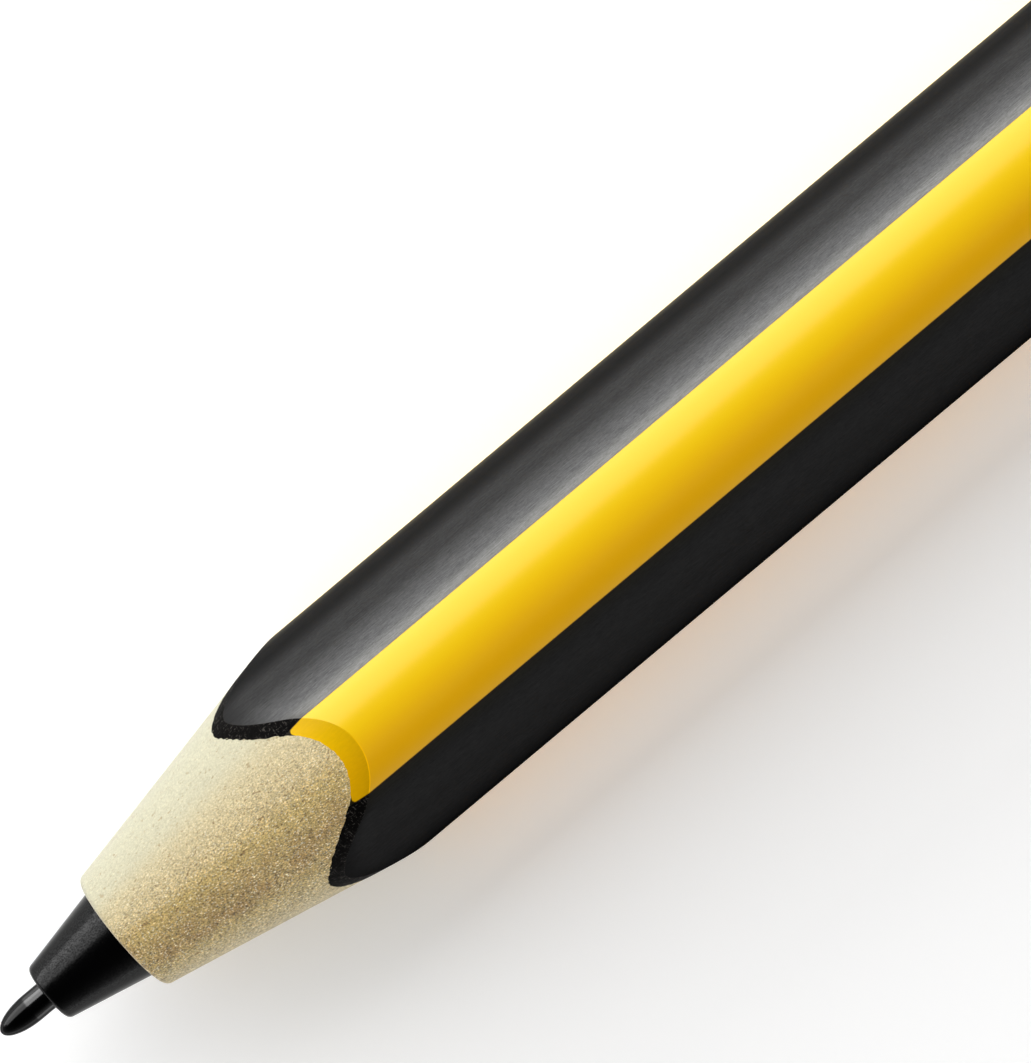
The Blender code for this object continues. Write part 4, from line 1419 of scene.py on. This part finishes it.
@dataclass
class Insides:
    """The pieces inside the barrel, which keep their CAD meshes."""

    nylon: Finish = Moulded("natural_nylon", (0.7, 0.67, 0.6), 0.5, relief=0.004 * MM, mottle=0.08)
    ferrite: Finish = Moulded("sintered_ferrite", (0.06, 0.055, 0.05), 0.55, 0.1 * MM, 0.006 * MM)
    ceramic: Finish = Moulded("fired_ceramic", (0.78, 0.76, 0.7), 0.4, 0.08 * MM, 0.003 * MM, mottle=0.1)
    rubber: Finish = Moulded("conductive_rubber", (0.03, 0.03, 0.032), 0.7, 0.1 * MM, 0.008 * MM)
    plastic: Finish = Moulded("inner_black_plastic", (0.012, 0.012, 0.013), 0.4)
    winding: Finish = Metal("wound_copper", (0.62, 0.23, 0.09), (0.42, 0.14, 0.06), 0.28, 0.12 * MM)
    wire: Finish = Metal("enamelled_wire", (0.6, 0.22, 0.09), (0.45, 0.15, 0.06), 0.25, 0.4 * MM)
    brass: Finish = Metal("rolled_brass", (0.72, 0.52, 0.2), (0.5, 0.34, 0.12), 0.3, 0.1 * MM, 0.002 * MM)
    laminate: Finish = Laminate()

    def build(self) -> None:
        """Dresses each node that no new piece stands for."""
        for name, node in sorted(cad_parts.items()):
            if node.hide_render:
                continue
            node.data.materials.clear()
            node.data.materials.append(self.finish_of(name).material())
            LOG.info("%s: CAD mesh in %s", name, node.data.materials[0].name)

    def finish_of(self, node: str) -> Finish:
        """The finish that a node's name calls for.

        Args:
            node: the CAD node's name.

        Returns:
            Its finish.
        """
        finishes = {
            "coil_lead": self.wire,
            "coil": self.winding,
            "ferrite": self.ferrite,
            "case": self.nylon,
            "carrier": self.nylon,
            "pad": self.rubber,
            "disc": self.ceramic,
            "capacitor": self.ceramic,
            "plate": self.brass,
            "board": self.laminate,
        }
        return next((finish for word, finish in finishes.items() if word in node), self.plastic)


@dataclass(frozen=True)
class Lamp:
    """A soft box beside or over the pencil, which reflections may leave out."""

    name: str
    bearing: float
    distance: float
    length: float
    height: float
    radiance: float
    along: float = 0.0
    reflected: bool = True

    def build(self) -> None:
        """Hangs the lamp at its bearing, facing the pencil's axis."""
        data = bpy.data.lights.new(self.name, "AREA")
        data.shape = "RECTANGLE"
        data.size = self.length
        data.size_y = self.height
        data.energy = self.radiance * math.pi * self.length * self.height
        lamp = placed(self.name, data)
        aside = math.sin(self.bearing) * self.distance
        lamp.location = (self.along, aside, math.cos(self.bearing) * self.distance)
        lamp.rotation_euler = (-self.bearing, 0.0, 0.0)
        lamp.visible_camera = False
        lamp.visible_glossy = self.reflected


@dataclass
class Studio:
    """The floor, the light and the camera."""

    axis: Axis
    lamps: tuple[Lamp, ...] = (
        Lamp("key_softbox", math.radians(71.0), 0.45, 1.3, 0.2, 3.6, -0.05),
        Lamp("upper_softbox", math.radians(44.5), 0.5, 1.3, 0.235, 2.5, -0.05),
        Lamp("top_softbox", 0.0, 0.8, 1.0, 0.8, 0.85, reflected=False),
        Lamp("fill_softbox", math.radians(-78.0), 0.5, 1.0, 0.2, 2.4, reflected=False),
    )
    floor_size: float = 16.0
    floor_albedo: float = 0.96
    floor_glow: float = 0.2
    floor_far: float = 0.8
    floor_fades: tuple[float, float] = (0.15, 0.6)
    horizon: float = 0.55
    lens: float = 800.0
    sensor: float = 36.0
    frame_width: float = 41.96 * MM
    lean: float = math.radians(6.5)
    roll_over: float = math.radians(2.14)
    slant: float = math.radians(39.98)
    aim_station: float = 29.44 * MM
    aim_aside: float = -2.21 * MM

    def build(self) -> None:
        """Sets up everything that isn't part of the pencil."""
        self.floor()
        self.world()
        for lamp in self.lamps:
            lamp.build()
        self.camera()
        bpy.context.scene.view_settings.view_transform = "Standard"

    def floor(self) -> None:
        """A plain pale floor under the pencil, white to the eye but for the pencil's shadow."""
        mesh = bpy.data.meshes.new("floor")
        work = bmesh.new()
        level = Matrix.Translation((0.0, 0.0, CAD_BOX[0].z))
        bmesh.ops.create_grid(work, x_segments=8, y_segments=8, size=self.floor_size / 2, matrix=level)
        work.to_mesh(mesh)
        work.free()
        material = bpy.data.materials.new("pale_floor")
        material.use_nodes = True
        graph = Graph(material.node_tree)
        albedo = (self.floor_albedo,) * 3 + (1.0,)
        paper = graph.add("ShaderNodeBsdfDiffuse", {}, {"Color": albedo})
        glow = graph.add("ShaderNodeEmission", {}, {"Strength": self.floor_glow})
        near = graph.add("ShaderNodeAddShader", {}, {0: paper, 1: glow})
        pale = graph.add("ShaderNodeEmission", {}, {"Strength": self.floor_far})
        away = graph.add("ShaderNodeVectorMath", {"operation": "LENGTH"}, {0: graph.position()}, "Value")
        far = graph.between(away, *self.floor_fades)
        bright = graph.add("ShaderNodeMixShader", {}, {0: far, 1: near, 2: pale})
        rays = [
            graph.add("ShaderNodeLightPath", {}, {}, f"Is {kind} Ray")
            for kind in ("Camera", "Glossy", "Transmission")
        ]
        seen = graph.maths("MINIMUM", rays[0] + rays[1] + rays[2], 1.0)
        lit = graph.add("ShaderNodeMixShader", {}, {0: seen, 1: paper, 2: bright})
        graph.end("ShaderNodeOutputMaterial", lit)
        mesh.materials.append(material)
        made = placed("floor", mesh)

    def world(self) -> None:
        """A studio that is pale at the horizon and dark overhead."""
        world = bpy.data.worlds.new("studio")
        world.use_nodes = True
        bpy.context.scene.world = world
        graph = Graph(world.node_tree)
        direction = graph.add("ShaderNodeTexCoord", {}, {}, "Generated")
        low = 1.0 - graph.maths("MAXIMUM", graph.part(direction, "Z"), 0.0)
        light = graph.add("ShaderNodeBackground", {}, {"Strength": low * low * low * self.horizon})
        graph.end("ShaderNodeOutputWorld", light)

    def camera(self) -> None:
        """A long lens over the nib's end, at the angle that the pencil is seen from."""
        back = Vector((
            math.sin(self.lean),
            math.cos(self.lean) * math.sin(self.roll_over),
            math.cos(self.lean) * math.cos(self.roll_over),
        )).normalized()
        along = Vector((1.0, 0.0, 0.0))
        along = (along - back * along.dot(back)).normalized()
        aside = along.cross(back)
        right = along * math.cos(self.slant) + aside * math.sin(self.slant)
        up = back.cross(right)
        aim = Vector((self.axis.tip + self.aim_station, 0.0, self.axis.height)) + aside * self.aim_aside
        distance = self.frame_width / self.sensor * self.lens
        data = bpy.data.cameras.new("camera")
        data.lens = self.lens
        data.sensor_width = self.sensor
        data.sensor_fit = "HORIZONTAL"
        data.clip_start = distance / 10
        data.clip_end = distance * 20
        made = placed("camera", data)
        turn = Matrix((right, up, back)).transposed().to_4x4()
        made.matrix_world = Matrix.Translation(aim + back * distance) @ turn
        bpy.context.scene.camera = made


def main() -> None:
    """Builds the pencil's pieces and the studio."""
    logging.basicConfig(level=logging.INFO, format="%(message)s")
    axis = Axis.of_frame()
    barrel = Barrel(axis)
    springs = (
        ReturnSpring(axis, "nib_spring_wire", "nib_return_spring", "nib_carriage", 1.0),
        ReturnSpring(axis, "eraser_spring_wire", "eraser_return_spring", "eraser", -1.0),
    )
    ends = (NibEnd(axis), EraserEnd(axis, barrel.section))
    for assembly in (barrel, *ends, *springs, Insides(), Studio(axis)):
        assembly.build()


if __name__ == "__main__":
    main()
